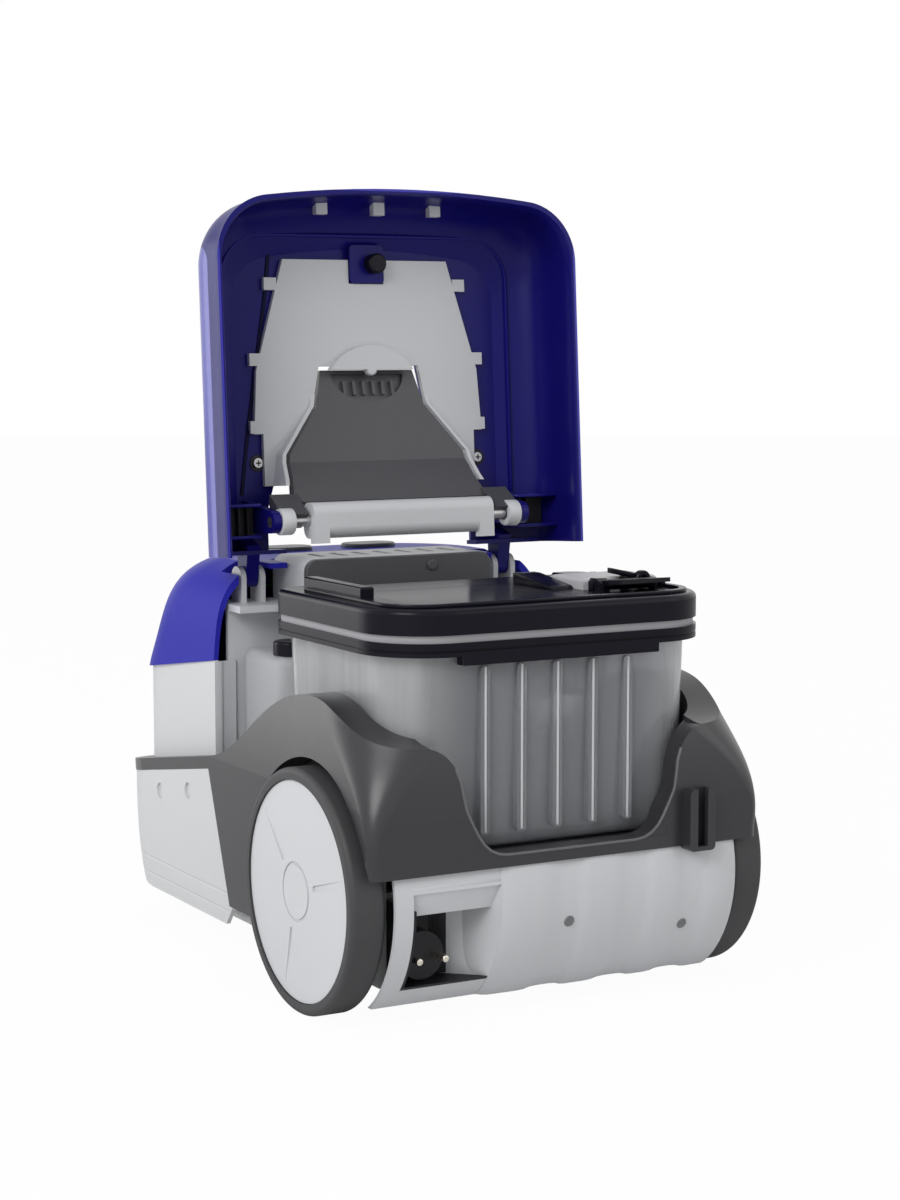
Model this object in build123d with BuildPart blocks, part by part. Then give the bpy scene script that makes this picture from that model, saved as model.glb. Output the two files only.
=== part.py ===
"""Canister wet-and-dry water-filter vacuum cleaner, modelled with its top lid open.

Millimetres. +X is the machine's left, +Y its rear, +Z up, origin on the floor under the middle.
"""
import os
from math import atan2, cos, radians, sin, sqrt, tan

from build123d import *

os.makedirs("parts", exist_ok=True)

# Overall sizes and general clearances
LENGTH = 486.0
OVERALL_W = 318.0
FRONT = -LENGTH / 2
REAR = LENGTH / 2
WALL = 3.0
GAP = 0.5
RUN = 0.05
HINGE_Y = -44.0
HINGE_Z = 270.0
SIDES = ((1, "left"), (-1, "right"))

# Rear wheels and axle
WHEEL_R = 82.0
WHEEL_W = 25.0
WHEEL_SETBACK = 98.0
WHEEL_Y = REAR - WHEEL_SETBACK
TYRE_T = 8.0
TYRE_EDGE = 4.0
RIM_T = 6.0
RIM_WEB = 4.0
HUB_R = 14.0
HUBCAP_T = 3.0
HUBCAP_RING_R = 20.0
HUBCAP_RING_W = 2.0
HUBCAP_GROOVES = 3
HUBCAP_GROOVE_W = 4.0
HUBCAP_TURN = 15.0
HUBCAP_SNAP = 2.0
AXLE_R = 5.0
AXLE_CAP_R = 9.0
AXLE_CAP_T = 2.0
SPOKES = 6
WHEEL_OUT = OVERALL_W / 2
WHEEL_IN = WHEEL_OUT - WHEEL_W
RIM_R = WHEEL_R - TYRE_T
RIM_OUT = WHEEL_OUT - HUBCAP_T
HUB_END = RIM_OUT - 6.0

# Base pan, front swivel castor and cord reel
BASE_CLEAR = 8.0
BASE_HW = WHEEL_IN - BASE_CLEAR
BASE_FRONT_IN = 27.0
BASE_FRONT = FRONT + BASE_FRONT_IN
BASE_REAR_IN = 47.0
BASE_REAR = REAR - BASE_REAR_IN
BASE_CORNER = 90.0
BASE_Z = 22.0
DECK_Z = 104.0
DECK_T = 6.0
DECK_TOP = DECK_Z + DECK_T
DECK_AHEAD = 26.0
DECK_FRONT = HINGE_Y - DECK_AHEAD
LUG_R = 12.0
LUG_L = 20.0
CASTOR_SETBACK = 78.0
CASTOR_Y = FRONT + CASTOR_SETBACK
CASTOR_R = 18.0
CASTOR_W = 16.0
CASTOR_TRAIL = 12.0
CASTOR_PIN_R = 3.0
CASTOR_POCKET_R = 40.0
CASTOR_POCKET_Z = 50.0
STEM_R = 6.0
STEM_L = 28.0
STEM_BOSS_R = 12.0
FORK_T = 4.0
REEL_AHEAD = 50.0
REEL_Y = WHEEL_Y - REEL_AHEAD
REEL_R = 62.0
REEL_HUB_R = 26.0
REEL_Z = 30.0
REEL_H = 40.0
REEL_FLANGE = 3.0
REEL_PIN_R = 6.0

# Bumper with its belt line, wheel arches and tank well
WHEEL_PROUD = 9.0
BUMPER_HW = WHEEL_OUT - WHEEL_PROUD
BUMPER_CORNER = 110.0
SLOT_PROUD = 9.0
BUMPER_REAR = REAR - SLOT_PROUD
BELT_T = 9.0
BELT_FRONT_Z = 110.0
BELT_AHEAD = 162.0
BELT_SIDE_Y = WHEEL_Y - BELT_AHEAD
BELT_SIDE_Z = 147.0
CREST_AHEAD = 6.0
CREST_Y = WHEEL_Y - CREST_AHEAD
CREST_Z = 210.0
CREST_RUN = 51.0
CREST_FALL_Z = 195.5
PLATEAU_Z = 184.5
PLATEAU_X = 104.0
SWEEP = ((92.0, 178.0), (83.0, 160.0), (79.0, 141.0), (71.0, 123.0))
REAR_LEDGE_Z = 112.0
REAR_LEDGE_HW = 46.0
ARCH_GAP = 6.0
LEG_AHEAD = 127.0
LEG_FRONT = WHEEL_Y - LEG_AHEAD
LEG_Z = 45.0
LEG_L = 57.0
LEG_REAR = LEG_FRONT + LEG_L
SKIRT_Z = 28.0

# Front housing and cowl
HOUSING_IN = 13.0
HOUSING_HW = BUMPER_HW - HOUSING_IN
HOUSING_FRONT_IN = 11.0
HOUSING_FRONT = FRONT + HOUSING_FRONT_IN
HOUSING_CORNER = 103.0
HOUSING_BEHIND = 11.0
HOUSING_REAR = HINGE_Y + HOUSING_BEHIND
COWL_T = 3.5
COWL_FRONT_Z = 182.0
COWL_REAR_Z = 213.0
COWL_NOTCH_HW = 79.0
COWL_NOTCH_AHEAD = 20.0
COWL_NOTCH_Y = HINGE_Y - COWL_NOTCH_AHEAD

# Top lid: hinge axis, rest angle and section
OPEN_ANGLE = 88.0
LID_SLOPE = 5.7
LID_IN = 4.0
LID_HW = BUMPER_HW - LID_IN
LID_START = 17.0
LID_REAR_IN = 10.5
LID_END = REAR - HINGE_Y - LID_REAR_IN
LID_BULGE = 12.0
LID_CORNER = 44.0
LID_RIM = -58.0
LID_TOP = 9.0
LID_T = 3.0
LINER_T = 4.0
ARM_IN = 41.0
ARM_X = LID_HW - ARM_IN
ARM_W = 10.0
HINGE_PIN_R = 3.0
CHEEK_T = 4.0
CHEEK_R = 9.0

# Carry handle on the lid
PIVOT_S = 40.5
PIVOT_T = -40.2
HANDLE_ROD_R = 4.0
BAR_W = 26.0
BAR_T = 18.0
BAR_R = 8.0
BAR_REACH = 13.2
EYE_IN = 12.0
HANDLE_EYE_X = ARM_X - EYE_IN
HANDLE_EYE_W = 10.0
HANDLE_EYE_R = 8.5
SHOULDER_S = 82.5
SHOULDER_T = -9.6
SHOULDER_IN = 21.0
SHOULDER_HW = HANDLE_EYE_X - SHOULDER_IN
TIP_S = 150.0
TIP_T = 6.6
TIP_IN = 54.5
TIP_HW = HANDLE_EYE_X - TIP_IN
HANDLE_T = 6.0

# Dirty-water tank and its lid
TANK_IN = 32.0
TANK_HW = BUMPER_HW - TANK_IN
TANK_BEHIND = 93.0
TANK_FRONT = HINGE_Y + TANK_BEHIND
TANK_REAR_IN = 22.0
TANK_REAR = BUMPER_REAR - TANK_REAR_IN
TANK_TOP = 241.0
TANK_WALL = 3.0
TANK_REAR_CORNER = 38.0
TANK_FRONT_CORNER = 8.0
TANK_DRAFT = 4.0
BAND_OUT = 9.0
BAND_H = 9.0
BAND_GROOVE = 1.5
SEAL_H = 5.0
SEAL_IN = 2.0
TANK_LID_H = 17.0
TANK_RIBS = 5
RIB_PITCH = 27.5
RIB_W = 7.0
RIB_H = 2.0
WELL_GAP = 4.0

# Clean-water tank
CLEAN_FRONT = HOUSING_REAR
CLEAN_GAP = 5.0
CLEAN_REAR = TANK_FRONT - CLEAN_GAP
CLEAN_LEFT = TANK_HW
CLEAN_TOP = 222.0
CLEAN_CORNER = 14.0
CLEAN_WALL = 2.5

# Air path: hose socket, ducts, air box, fan and motor
HOSE_R = 18.0
HOSE_STOP = 1.5
DUCT_WALL = 2.5
DUCT_IN = 45.0
DUCT_X = DUCT_IN - HOUSING_HW
CLEAN_BESIDE_DUCT = 11.5
CLEAN_RIGHT = DUCT_X + HOSE_R + DUCT_WALL + CLEAN_BESIDE_DUCT
INLET_Z = 142.0
SUCTION_Z = 200.0
MOTOR_X = 10.0
MOTOR_Z = 190.0
MOTOR_R = 45.0
MOTOR_L = 84.0
FAN_R = 62.0
FAN_L = 34.0
FAN_EYE_R = 22.0
FAN_BLADES = 9
SHAFT_R = 4.0
BULKHEAD_BEHIND = 4.0
BULKHEAD_FRONT = HINGE_Y + BULKHEAD_BEHIND
BULKHEAD_T = 4.0
AIR_BOX_L = 22.0

# Filter box on the bulkhead
FILTER_HW = 77.0
FILTER_AHEAD = 18.0
FILTER_FRONT = HINGE_Y - FILTER_AHEAD
FILTER_BEHIND = 34.0
FILTER_REAR = HINGE_Y + FILTER_BEHIND
FILTER_Z = 248.0
FILTER_TOP = 285.0
COVER_T = 4.0

# Rear panel and plug
PANEL_GAP = 6.0
PANEL_CLEAR = 3.0
PANEL_HW = WHEEL_IN - PANEL_CLEAR
PANEL_BOTTOM = 12.0
PANEL_R = WHEEL_R + PANEL_GAP
GARAGE_IN = 13.0
GARAGE_LEFT = PANEL_HW - GARAGE_IN
GARAGE_W = 67.0
GARAGE_RIGHT = GARAGE_LEFT - GARAGE_W
GARAGE_BACK_W = 36.0
GARAGE_BACK_RIGHT = GARAGE_LEFT - GARAGE_BACK_W
GARAGE_Z0 = 26.0
GARAGE_Z1 = 97.0
GARAGE_BEHIND = 41.0
GARAGE_BACK = WHEEL_Y + GARAGE_BEHIND
GARAGE_T = 2.0
GARAGE_HOLE_TOP = 82.0
PLUG_IN = 19.0
PLUG_X = GARAGE_LEFT - PLUG_IN
PLUG_Z = 46.0
PLUG_R = 16.0
PLUG_L = 20.0
PLUG_NECK_R = 7.0
PLUG_PIN_R = 2.4
PLUG_PIN_L = 16.0
PLUG_PIN_PITCH = 19.0
SCREW_R = 2.0
SCREW_HEAD_R = 4.0
SCREW_HEAD_T = 2.5
PANEL_SCREWS = ((1.0, 62.0), (40.0 - PANEL_HW, 49.0))

# Parking slot for the floor tool
SLOT_IN = 53.0
SLOT_X = SLOT_IN - BUMPER_HW
SLOT_W = 20.5
SLOT_SLIT = 8.0
SLOT_Z0 = 101.0
SLOT_Z1 = 143.0
SLOT_LIP = 4.0

# Fittings on the tank lid
HOOD_IN = 6.0
HOOD_W = 60.0
HOOD_L = 62.0
HOOD_REAR_IN = 50.0
HOOD_X0 = HOOD_IN - TANK_HW
HOOD_X1 = HOOD_X0 + HOOD_W
HOOD_Y1 = TANK_REAR - HOOD_REAR_IN
HOOD_Y0 = HOOD_Y1 - HOOD_L
HOOD_SLOPE = 26.0
HOOD_H = 8.0
LATCH_W = 40.0
LATCH_BEHIND = 14.0
LATCH_RISE = 4.5
LATCH_OFF = 4.0
LATCH_X = (HOOD_X0 + HOOD_X1) / 2 + LATCH_OFF
LATCH_Y = HOOD_Y1 + LATCH_BEHIND
LATCH_L = 24.0
LATCH_T = 3.0
LATCH_REST = 6.0
LATCH_LUG_R = 3.5
LATCH_PIN_R = 1.5
GRIP_IN = 10.0
GRIP_AHEAD = 17.0
GRIP_L = 84.0
GRIP_X = TANK_HW - GRIP_IN
GRIP_W = 10.0
GRIP_Y0 = TANK_FRONT + GRIP_AHEAD
GRIP_Y1 = GRIP_Y0 + GRIP_L
GRIP_H = 9.0
GRIP_EDGE = 1.5
CAGE_OFF = 12.0
CAGE_X = (HOOD_X0 + HOOD_X1) / 2 + CAGE_OFF
CAGE_BEHIND = 25.0
CAGE_Y = HOOD_Y0 + CAGE_BEHIND
CAGE_DROP = 72.0
CAGE_R = 20.0
CAGE_WALL = 2.0
CAGE_SLOTS = 6
BALL_R = 14.0

# Inside of the top lid
LID_SECTIONS = (
    (LID_RIM, LID_HW, LID_END, LID_CORNER),
    (-22.0, LID_HW - 2.5, LID_END - 2.5, LID_CORNER),
    (-8.0, LID_HW - 7.5, LID_END - 8.5, LID_CORNER - 2.0),
    (2.0, LID_HW - 19.0, LID_END - 20.5, LID_CORNER - 6.0),
    (LID_TOP, LID_HW - 34.0, LID_END - 34.5, LID_CORNER - 10.0),
)
EAR_T = -12.0
ARM_EYE_R = 6.5
BRACKET_IN = 3.0
BRACKET_X = ARM_X - BRACKET_IN
BRACKET_T = 6.0
BRACKET_R = 8.0
LINER_WALL = 3.0
BOSS_END_IN = 48.5
BOSS_S = LID_END - BOSS_END_IN
BOSS_W = 28.0
BOSS_T = 0.0
BUFFER_X = -5.0
BUFFER_R = 7.5
BUFFER_H = 9.0
LINER_S0 = 104.0
LINER_S1 = 150.0
LINER_END_IN = 45.5
LINER_S2 = LID_END - LINER_END_IN
LINER_IN_0 = 51.0
LINER_HW0 = LID_HW - LINER_IN_0
LINER_IN_1 = 54.0
LINER_HW1 = LID_HW - LINER_IN_1
LINER_IN_2 = 78.0
LINER_HW2 = LID_HW - LINER_IN_2
LINER_TAPER = (LINER_HW1 - LINER_HW2) / (LINER_S2 - LINER_S1)
LINER_TAB_IN = 18.0
LINER_TAB_OUT = 5.1666667
LINER_TABS = (
    (LINER_HW0 - 2.0, LINER_S0 + 5.0),
    (LINER_HW1, LINER_S1 + 8.0),
    (LINER_HW2 + LINER_TAB_IN * LINER_TAPER + LINER_TAB_OUT, LINER_S2 - LINER_TAB_IN),
)
TAB_L = 10.0
TAB_W = 9.0
LINER_SCREW_X = LINER_HW1
LINER_SCREW_S = 83.0
CLIP_T = -22.5
CLIP_L = 10.0
CLIP_W = 9.0
CLIP_H = 6.0
CLIP_PITCH = 46.7
PLATE_IN_EYE = 11.0
PLATE_HW = HANDLE_EYE_X - PLATE_IN_EYE
PLATE_S = 54.0
PLATE_T = -30.4
ARM_LEAN = radians(36.0)
BEAM_IN = 8.0
BEAM_HW = PLATE_HW - BEAM_IN
BEAM_FOOT_S = 24.0
BEAM_FOOT_T = 7.0
BEAM_FOOT_W = 12.0
GRIP_S = 124.0
GRIP_RIBS = 6
GRIP_RIB_PITCH = 8.0
GRIP_RIB_W = 2.5
GRIP_RECESS_TOP = 3.0
GRIP_RECESS_HW = 30.0
GRIP_RECESS_H = 21.0
CATCH_R = 42.0
CATCH_TOP = 168.0
CATCH_T = 6.0
CATCH_NUB_R = 4.5

# Frames for the lid and for pieces seen from the side
TILT = radians(OPEN_ANGLE + LID_SLOPE)
LID = Plane(origin=(0, HINGE_Y, HINGE_Z), x_dir=(1, 0, 0), z_dir=(0, -sin(TILT), cos(TILT)))
LID_SIDE = Plane(origin=(0, HINGE_Y, HINGE_Z), x_dir=(0, cos(TILT), sin(TILT)), z_dir=(1, 0, 0))
AXLE = Axis((0, WHEEL_Y, WHEEL_R), (1, 0, 0))


def facing_rear(y):
    """Plane across the machine at y: sketch X is the machine's X, sketch Y its height."""
    return Plane(origin=(0, y, 0), x_dir=(1, 0, 0), z_dir=(0, -1, 0))


def save(builder, name):
    """Label a finished piece and write its STEP file."""
    builder.part.label = name
    export_step(builder.part, f"parts/{name}.step")


def nose_outline(z, half_w, front, rear, corner):
    """Plan outline with a square rear edge and two rounded front corners."""
    with BuildSketch(Plane.XY.offset(z)) as outline:
        with Locations((0, (front + rear) / 2)):
            Rectangle(2 * half_w, rear - front)
        fillet(outline.vertices().group_by(Axis.Y)[0], corner)
    return outline.sketch


def lid_outline(t, half_w, start, end, corner):
    """Lid outline at height t: square hinge end, bowed free end with rounded corners."""
    with BuildSketch(LID.offset(t)) as outline:
        with BuildLine():
            shoulder = end - LID_BULGE
            Polyline((-half_w, shoulder), (-half_w, start), (half_w, start), (half_w, shoulder))
            ThreePointArc((half_w, shoulder), (0, end), (-half_w, shoulder))
        make_face()
        fillet(outline.vertices().filter_by(lambda v: v.Y > start + LID_BULGE), corner)
    return outline.sketch


def ring(outer, inner, x):
    """Ring or disc round the rear axle, in the plane at x."""
    with BuildSketch(Plane.YZ.offset(x)) as section:
        with Locations((WHEEL_Y, WHEEL_R)):
            Circle(outer)
            if inner:
                Circle(inner, mode=Mode.SUBTRACT)
    return section.sketch


def belt_top(y):
    """Height of the bumper's belt line ahead of the wheel arch."""
    return BELT_FRONT_Z + (BELT_SIDE_Z - BELT_FRONT_Z) * (y - FRONT) / (BELT_SIDE_Y - FRONT)


def bumper_side():
    """Bumper seen from the side: belt, swept shoulder, rear wall, front leg of the arch."""
    slope = (BELT_SIDE_Z - BELT_FRONT_Z) / (BELT_SIDE_Y - FRONT)
    with BuildSketch(Plane.YZ) as side:
        with BuildLine():
            Line((FRONT, BELT_FRONT_Z - BELT_T), (FRONT, BELT_FRONT_Z))
            Line((FRONT, BELT_FRONT_Z), (BELT_SIDE_Y, BELT_SIDE_Z))
            Spline(
                (BELT_SIDE_Y, BELT_SIDE_Z),
                (CREST_Y, CREST_Z),
                tangents=((1, slope), (1, 0)),
            )
            Spline(
                (CREST_Y, CREST_Z),
                (CREST_Y + CREST_RUN, CREST_FALL_Z),
                (BUMPER_REAR, PLATEAU_Z),
                tangents=((1, 0), (1, 0)),
            )
            Polyline(
                (BUMPER_REAR, PLATEAU_Z),
                (BUMPER_REAR, DECK_Z),
                (LEG_REAR, DECK_Z),
                (LEG_REAR, LEG_Z),
                (LEG_FRONT, LEG_Z),
                (BELT_SIDE_Y, BELT_SIDE_Z - BELT_T),
                (FRONT, BELT_FRONT_Z - BELT_T),
            )
        make_face()
    return side.sketch


# Rear axle: one steel rod carried by the base pan's lugs, with a push-on cap at each end
with BuildPart() as rear_axle:
    extrude(ring(AXLE_R, 0, -HUB_END - AXLE_CAP_T), amount=2 * (HUB_END + AXLE_CAP_T))
save(rear_axle, "rear_axle")

with BuildPart() as axle_caps:
    for side, _ in SIDES:
        extrude(ring(AXLE_CAP_R, AXLE_R, side * (HUB_END + GAP)), amount=side * AXLE_CAP_T)
save(axle_caps, "axle_caps")

# Rear wheels: rubber tyre, ribbed rim on the axle, snap-on hubcap
for side, side_name in SIDES:
    with BuildPart() as tyre:
        extrude(ring(WHEEL_R, RIM_R, side * WHEEL_IN), amount=side * WHEEL_W)
        fillet(tyre.edges().filter_by(GeomType.CIRCLE).group_by(lambda e: e.radius)[-1], TYRE_EDGE)
    save(tyre, f"{side_name}_tyre")

    with BuildPart() as rim:
        extrude(ring(RIM_R, RIM_R - RIM_T, side * WHEEL_IN), amount=side * (WHEEL_W - HUBCAP_T))
        extrude(ring(RIM_R - RIM_T, AXLE_R + RUN, side * (WHEEL_IN + RIM_WEB)), amount=side * RIM_WEB)
        extrude(ring(HUB_R, AXLE_R + RUN, side * WHEEL_IN), amount=side * (HUB_END - WHEEL_IN))
        with BuildSketch(Plane.YZ.offset(side * (WHEEL_IN + RIM_WEB))):
            with Locations((WHEEL_Y, WHEEL_R)):
                with PolarLocations((RIM_R - RIM_T + HUB_R) / 2, SPOKES):
                    Rectangle(RIM_R - RIM_T - HUB_R + WALL, WALL)
        extrude(amount=side * (HUB_END - WHEEL_IN - 2 * RIM_WEB))
    save(rim, f"{side_name}_rim")

    with BuildPart() as hubcap:
        with BuildSketch(Plane(origin=(0, WHEEL_Y, WHEEL_R), x_dir=(1, 0, 0), z_dir=(0, -1, 0))):
            with BuildLine():
                Polyline(
                    (side * WHEEL_OUT, 0),
                    (side * WHEEL_OUT, HUBCAP_RING_R + HUBCAP_RING_W),
                    (side * (RIM_OUT + HUBCAP_T / 2), RIM_R - GAP),
                    (side * RIM_OUT, RIM_R - GAP),
                    (side * RIM_OUT, 0),
                    close=True,
                )
            make_face()
        revolve(axis=AXLE)
        extrude(
            ring(HUBCAP_RING_R, HUBCAP_RING_R - HUBCAP_RING_W, side * WHEEL_OUT),
            amount=-side * HUBCAP_T / 3,
            mode=Mode.SUBTRACT,
        )
        with BuildSketch(Plane.YZ.offset(side * WHEEL_OUT)):
            with Locations((WHEEL_Y, WHEEL_R)):
                with PolarLocations((RIM_R + HUBCAP_RING_R) / 2, HUBCAP_GROOVES, start_angle=HUBCAP_TURN):
                    SlotOverall(RIM_R - HUBCAP_RING_R - 3 * HUBCAP_GROOVE_W, HUBCAP_GROOVE_W)
        extrude(amount=-side * HUBCAP_T / 2, mode=Mode.SUBTRACT)
        extrude(
            ring(RIM_R - RIM_T, RIM_R - RIM_T - HUBCAP_SNAP, side * RIM_OUT),
            amount=-side * 2 * HUBCAP_SNAP,
        )
    save(hubcap, f"{side_name}_hubcap")

# Base pan: open tub with axle lugs, castor pocket, reel spindle and motor saddle
SADDLE_AHEAD = 62.0
SADDLE_Y = HINGE_Y - SADDLE_AHEAD
SADDLE_L = 16.0
SADDLE_W = 60.0
AXLE_LUG_OUT = WHEEL_IN - GAP
with BuildPart() as base_pan:
    extrude(nose_outline(BASE_Z, BASE_HW, BASE_FRONT, BASE_REAR, BASE_CORNER), amount=DECK_Z - BASE_Z)
    fillet(base_pan.edges().group_by(Axis.Z)[0], 8)
    extrude(
        nose_outline(
            BASE_Z + WALL, BASE_HW - WALL, BASE_FRONT + WALL, BASE_REAR - WALL, BASE_CORNER - WALL
        ),
        amount=DECK_Z,
        mode=Mode.SUBTRACT,
    )
    for side, _ in SIDES:
        extrude(ring(LUG_R, 0, side * AXLE_LUG_OUT), amount=-side * LUG_L)
    extrude(ring(AXLE_R, 0, -WHEEL_OUT), amount=2 * WHEEL_OUT, mode=Mode.SUBTRACT)
    with BuildSketch(Plane.XY.offset(BASE_Z)):
        with Locations((0, CASTOR_Y)):
            Circle(CASTOR_POCKET_R + WALL)
    extrude(amount=CASTOR_POCKET_Z + WALL - BASE_Z)
    with BuildSketch(Plane.XY.offset(CASTOR_POCKET_Z)):
        with Locations((0, CASTOR_Y)):
            Circle(STEM_BOSS_R)
    extrude(amount=STEM_L)
    with BuildSketch():
        with Locations((0, CASTOR_Y)):
            Circle(CASTOR_POCKET_R)
    extrude(amount=CASTOR_POCKET_Z, mode=Mode.SUBTRACT)
    with BuildSketch():
        with Locations((0, CASTOR_Y)):
            Circle(STEM_R + RUN)
    extrude(amount=CASTOR_POCKET_Z + STEM_L, mode=Mode.SUBTRACT)
    with BuildSketch(Plane.XY.offset(BASE_Z)):
        with Locations((0, REEL_Y)):
            Circle(REEL_PIN_R)
    extrude(amount=REEL_Z + REEL_H - BASE_Z)
    with BuildSketch(Plane.XY.offset(BASE_Z)):
        with Locations((0, REEL_Y)):
            Circle(REEL_PIN_R + WALL)
    extrude(amount=REEL_Z - BASE_Z - GAP)
    with BuildSketch(facing_rear(SADDLE_Y + SADDLE_L / 2)):
        with Locations((MOTOR_X, (BASE_Z + MOTOR_Z) / 2)):
            Rectangle(SADDLE_W, MOTOR_Z - BASE_Z)
        with Locations((MOTOR_X, MOTOR_Z)):
            Circle(MOTOR_R, mode=Mode.SUBTRACT)
        with Locations((MOTOR_X, (CASTOR_POCKET_Z + MOTOR_Z) / 2)):
            Rectangle(SADDLE_W - 4 * WALL, MOTOR_Z - CASTOR_POCKET_Z, mode=Mode.SUBTRACT)
    extrude(amount=SADDLE_L)
    with BuildSketch(facing_rear(BASE_REAR)):
        with Locations(((GARAGE_LEFT + GARAGE_RIGHT) / 2, (GARAGE_Z0 + GARAGE_Z1) / 2)):
            Rectangle(GARAGE_LEFT - GARAGE_RIGHT + 2 * GAP, GARAGE_Z1 - GARAGE_Z0 + 2 * GAP)
    extrude(amount=WALL, mode=Mode.SUBTRACT)
    with BuildSketch(facing_rear(BASE_REAR)):
        with Locations(*PANEL_SCREWS):
            Circle(SCREW_R)
    extrude(amount=WALL, mode=Mode.SUBTRACT)
save(base_pan, "base_pan")

# Front castor: fork on a swivel stem, wheel on a cross pin
FORK_HW = CASTOR_W / 2 + GAP + FORK_T
CASTOR_AXIS_Y = CASTOR_Y + CASTOR_TRAIL
with BuildPart() as castor_fork:
    with BuildSketch(Plane.XY.offset(CASTOR_POCKET_Z - GAP)):
        with Locations((0, CASTOR_Y)):
            Circle(STEM_R)
    extrude(amount=STEM_L)
    with BuildSketch(Plane.YZ.offset(-FORK_HW)):
        with BuildLine():
            Polyline(
                (CASTOR_AXIS_Y, CASTOR_R - 2 * CASTOR_PIN_R),
                (CASTOR_Y - STEM_BOSS_R, CASTOR_POCKET_Z - GAP - FORK_T),
                (CASTOR_Y - STEM_BOSS_R, CASTOR_POCKET_Z - GAP),
                (CASTOR_Y + STEM_BOSS_R, CASTOR_POCKET_Z - GAP),
                (CASTOR_AXIS_Y + 2 * CASTOR_PIN_R, CASTOR_R),
                close=True,
            )
        make_face()
    extrude(amount=2 * FORK_HW)
    with BuildSketch(Plane.YZ.offset(-CASTOR_W / 2 - GAP)):
        with Locations((CASTOR_AXIS_Y, CASTOR_R)):
            Circle(CASTOR_R + 4 * GAP)
    extrude(amount=CASTOR_W + 2 * GAP, mode=Mode.SUBTRACT)
    with BuildSketch(Plane.YZ.offset(-FORK_HW)):
        with Locations((CASTOR_AXIS_Y, CASTOR_R)):
            Circle(CASTOR_PIN_R)
    extrude(amount=2 * FORK_HW, mode=Mode.SUBTRACT)
save(castor_fork, "castor_fork")

with BuildPart() as castor_pin:
    with BuildSketch(Plane.YZ.offset(-FORK_HW)):
        with Locations((CASTOR_AXIS_Y, CASTOR_R)):
            Circle(CASTOR_PIN_R)
    extrude(amount=2 * FORK_HW)
save(castor_pin, "castor_pin")

with BuildPart() as castor_wheel:
    with BuildSketch(Plane.YZ.offset(-CASTOR_W / 2)):
        with Locations((CASTOR_AXIS_Y, CASTOR_R)):
            Circle(CASTOR_R)
    extrude(amount=CASTOR_W)
    fillet(castor_wheel.edges(), TYRE_EDGE / 2)
    with BuildSketch(Plane.YZ.offset(-CASTOR_W / 2)):
        with Locations((CASTOR_AXIS_Y, CASTOR_R)):
            Circle(CASTOR_PIN_R + RUN)
    extrude(amount=CASTOR_W, mode=Mode.SUBTRACT)
save(castor_wheel, "castor_wheel")

# Cord reel: two flanges on a hub, turning on the base pan's spindle
with BuildPart() as reel_drum:
    with BuildSketch(Plane.XY.offset(REEL_Z)):
        with Locations((0, REEL_Y)):
            Circle(REEL_HUB_R)
    extrude(amount=REEL_H)
    for level in (REEL_Z, REEL_Z + REEL_H - REEL_FLANGE):
        with BuildSketch(Plane.XY.offset(level)):
            with Locations((0, REEL_Y)):
                Circle(REEL_R)
                with PolarLocations((REEL_R + REEL_HUB_R) / 2, SPOKES):
                    Circle((REEL_R - REEL_HUB_R) / 4, mode=Mode.SUBTRACT)
        extrude(amount=REEL_FLANGE)
    with BuildSketch(Plane.XY.offset(REEL_Z)):
        with Locations((0, REEL_Y)):
            Circle(REEL_PIN_R + RUN)
    extrude(amount=REEL_H, mode=Mode.SUBTRACT)
save(reel_drum, "reel_drum")

# Rear panel: plate bent round the axle line, with slanted flutes and the plug opening
PLUG_BACK = GARAGE_BACK + GARAGE_T
FLUTE_X = (24.0 - PANEL_HW, 75.0 - PANEL_HW, 108.0 - PANEL_HW, 145.0 - PANEL_HW)
FLUTE_LEAN = 53.0
FLUTE_W = 8.0
FLUTE_DEPTH = 1.2
PANEL_IN = PANEL_R - WALL


def panel_sector(outer, inner):
    """Slice of a ring about the axle, behind it, between the panel's lower and upper edges."""
    with BuildSketch(Plane.YZ) as sector:
        with Locations((WHEEL_Y, WHEEL_R)):
            Circle(outer)
            Circle(inner, mode=Mode.SUBTRACT)
        with Locations((WHEEL_Y + PANEL_R / 2, (PANEL_BOTTOM + DECK_Z) / 2)):
            Rectangle(PANEL_R, DECK_Z - PANEL_BOTTOM, mode=Mode.INTERSECT)
    return sector.sketch


with BuildPart() as flutes:
    extrude(panel_sector(PANEL_R, PANEL_R - FLUTE_DEPTH), amount=PANEL_HW, both=True)
    with BuildSketch(facing_rear(REAR)):
        for x in FLUTE_X:
            with BuildLine():
                Polyline(
                    (x - (FLUTE_LEAN + FLUTE_W) / 2, DECK_Z),
                    (x - (FLUTE_LEAN - FLUTE_W) / 2, DECK_Z),
                    (x + (FLUTE_LEAN + FLUTE_W) / 2, PANEL_BOTTOM),
                    (x + (FLUTE_LEAN - FLUTE_W) / 2, PANEL_BOTTOM),
                    close=True,
                )
            make_face()
    extrude(amount=LENGTH, mode=Mode.INTERSECT)


def panel_y(radius, z):
    """How far back a cylinder of this radius about the axle line stands at height z."""
    return WHEEL_Y + sqrt(radius**2 - (z - WHEEL_R) ** 2)


def garage_outline(plane, grow):
    """Mouth of the plug recess, grown all round."""
    with BuildSketch(plane) as mouth:
        with Locations(((GARAGE_LEFT + GARAGE_RIGHT) / 2, (GARAGE_Z0 + GARAGE_Z1) / 2)):
            Rectangle(GARAGE_LEFT - GARAGE_RIGHT + 2 * grow, GARAGE_Z1 - GARAGE_Z0 + 2 * grow)
    return mouth.sketch


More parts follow.
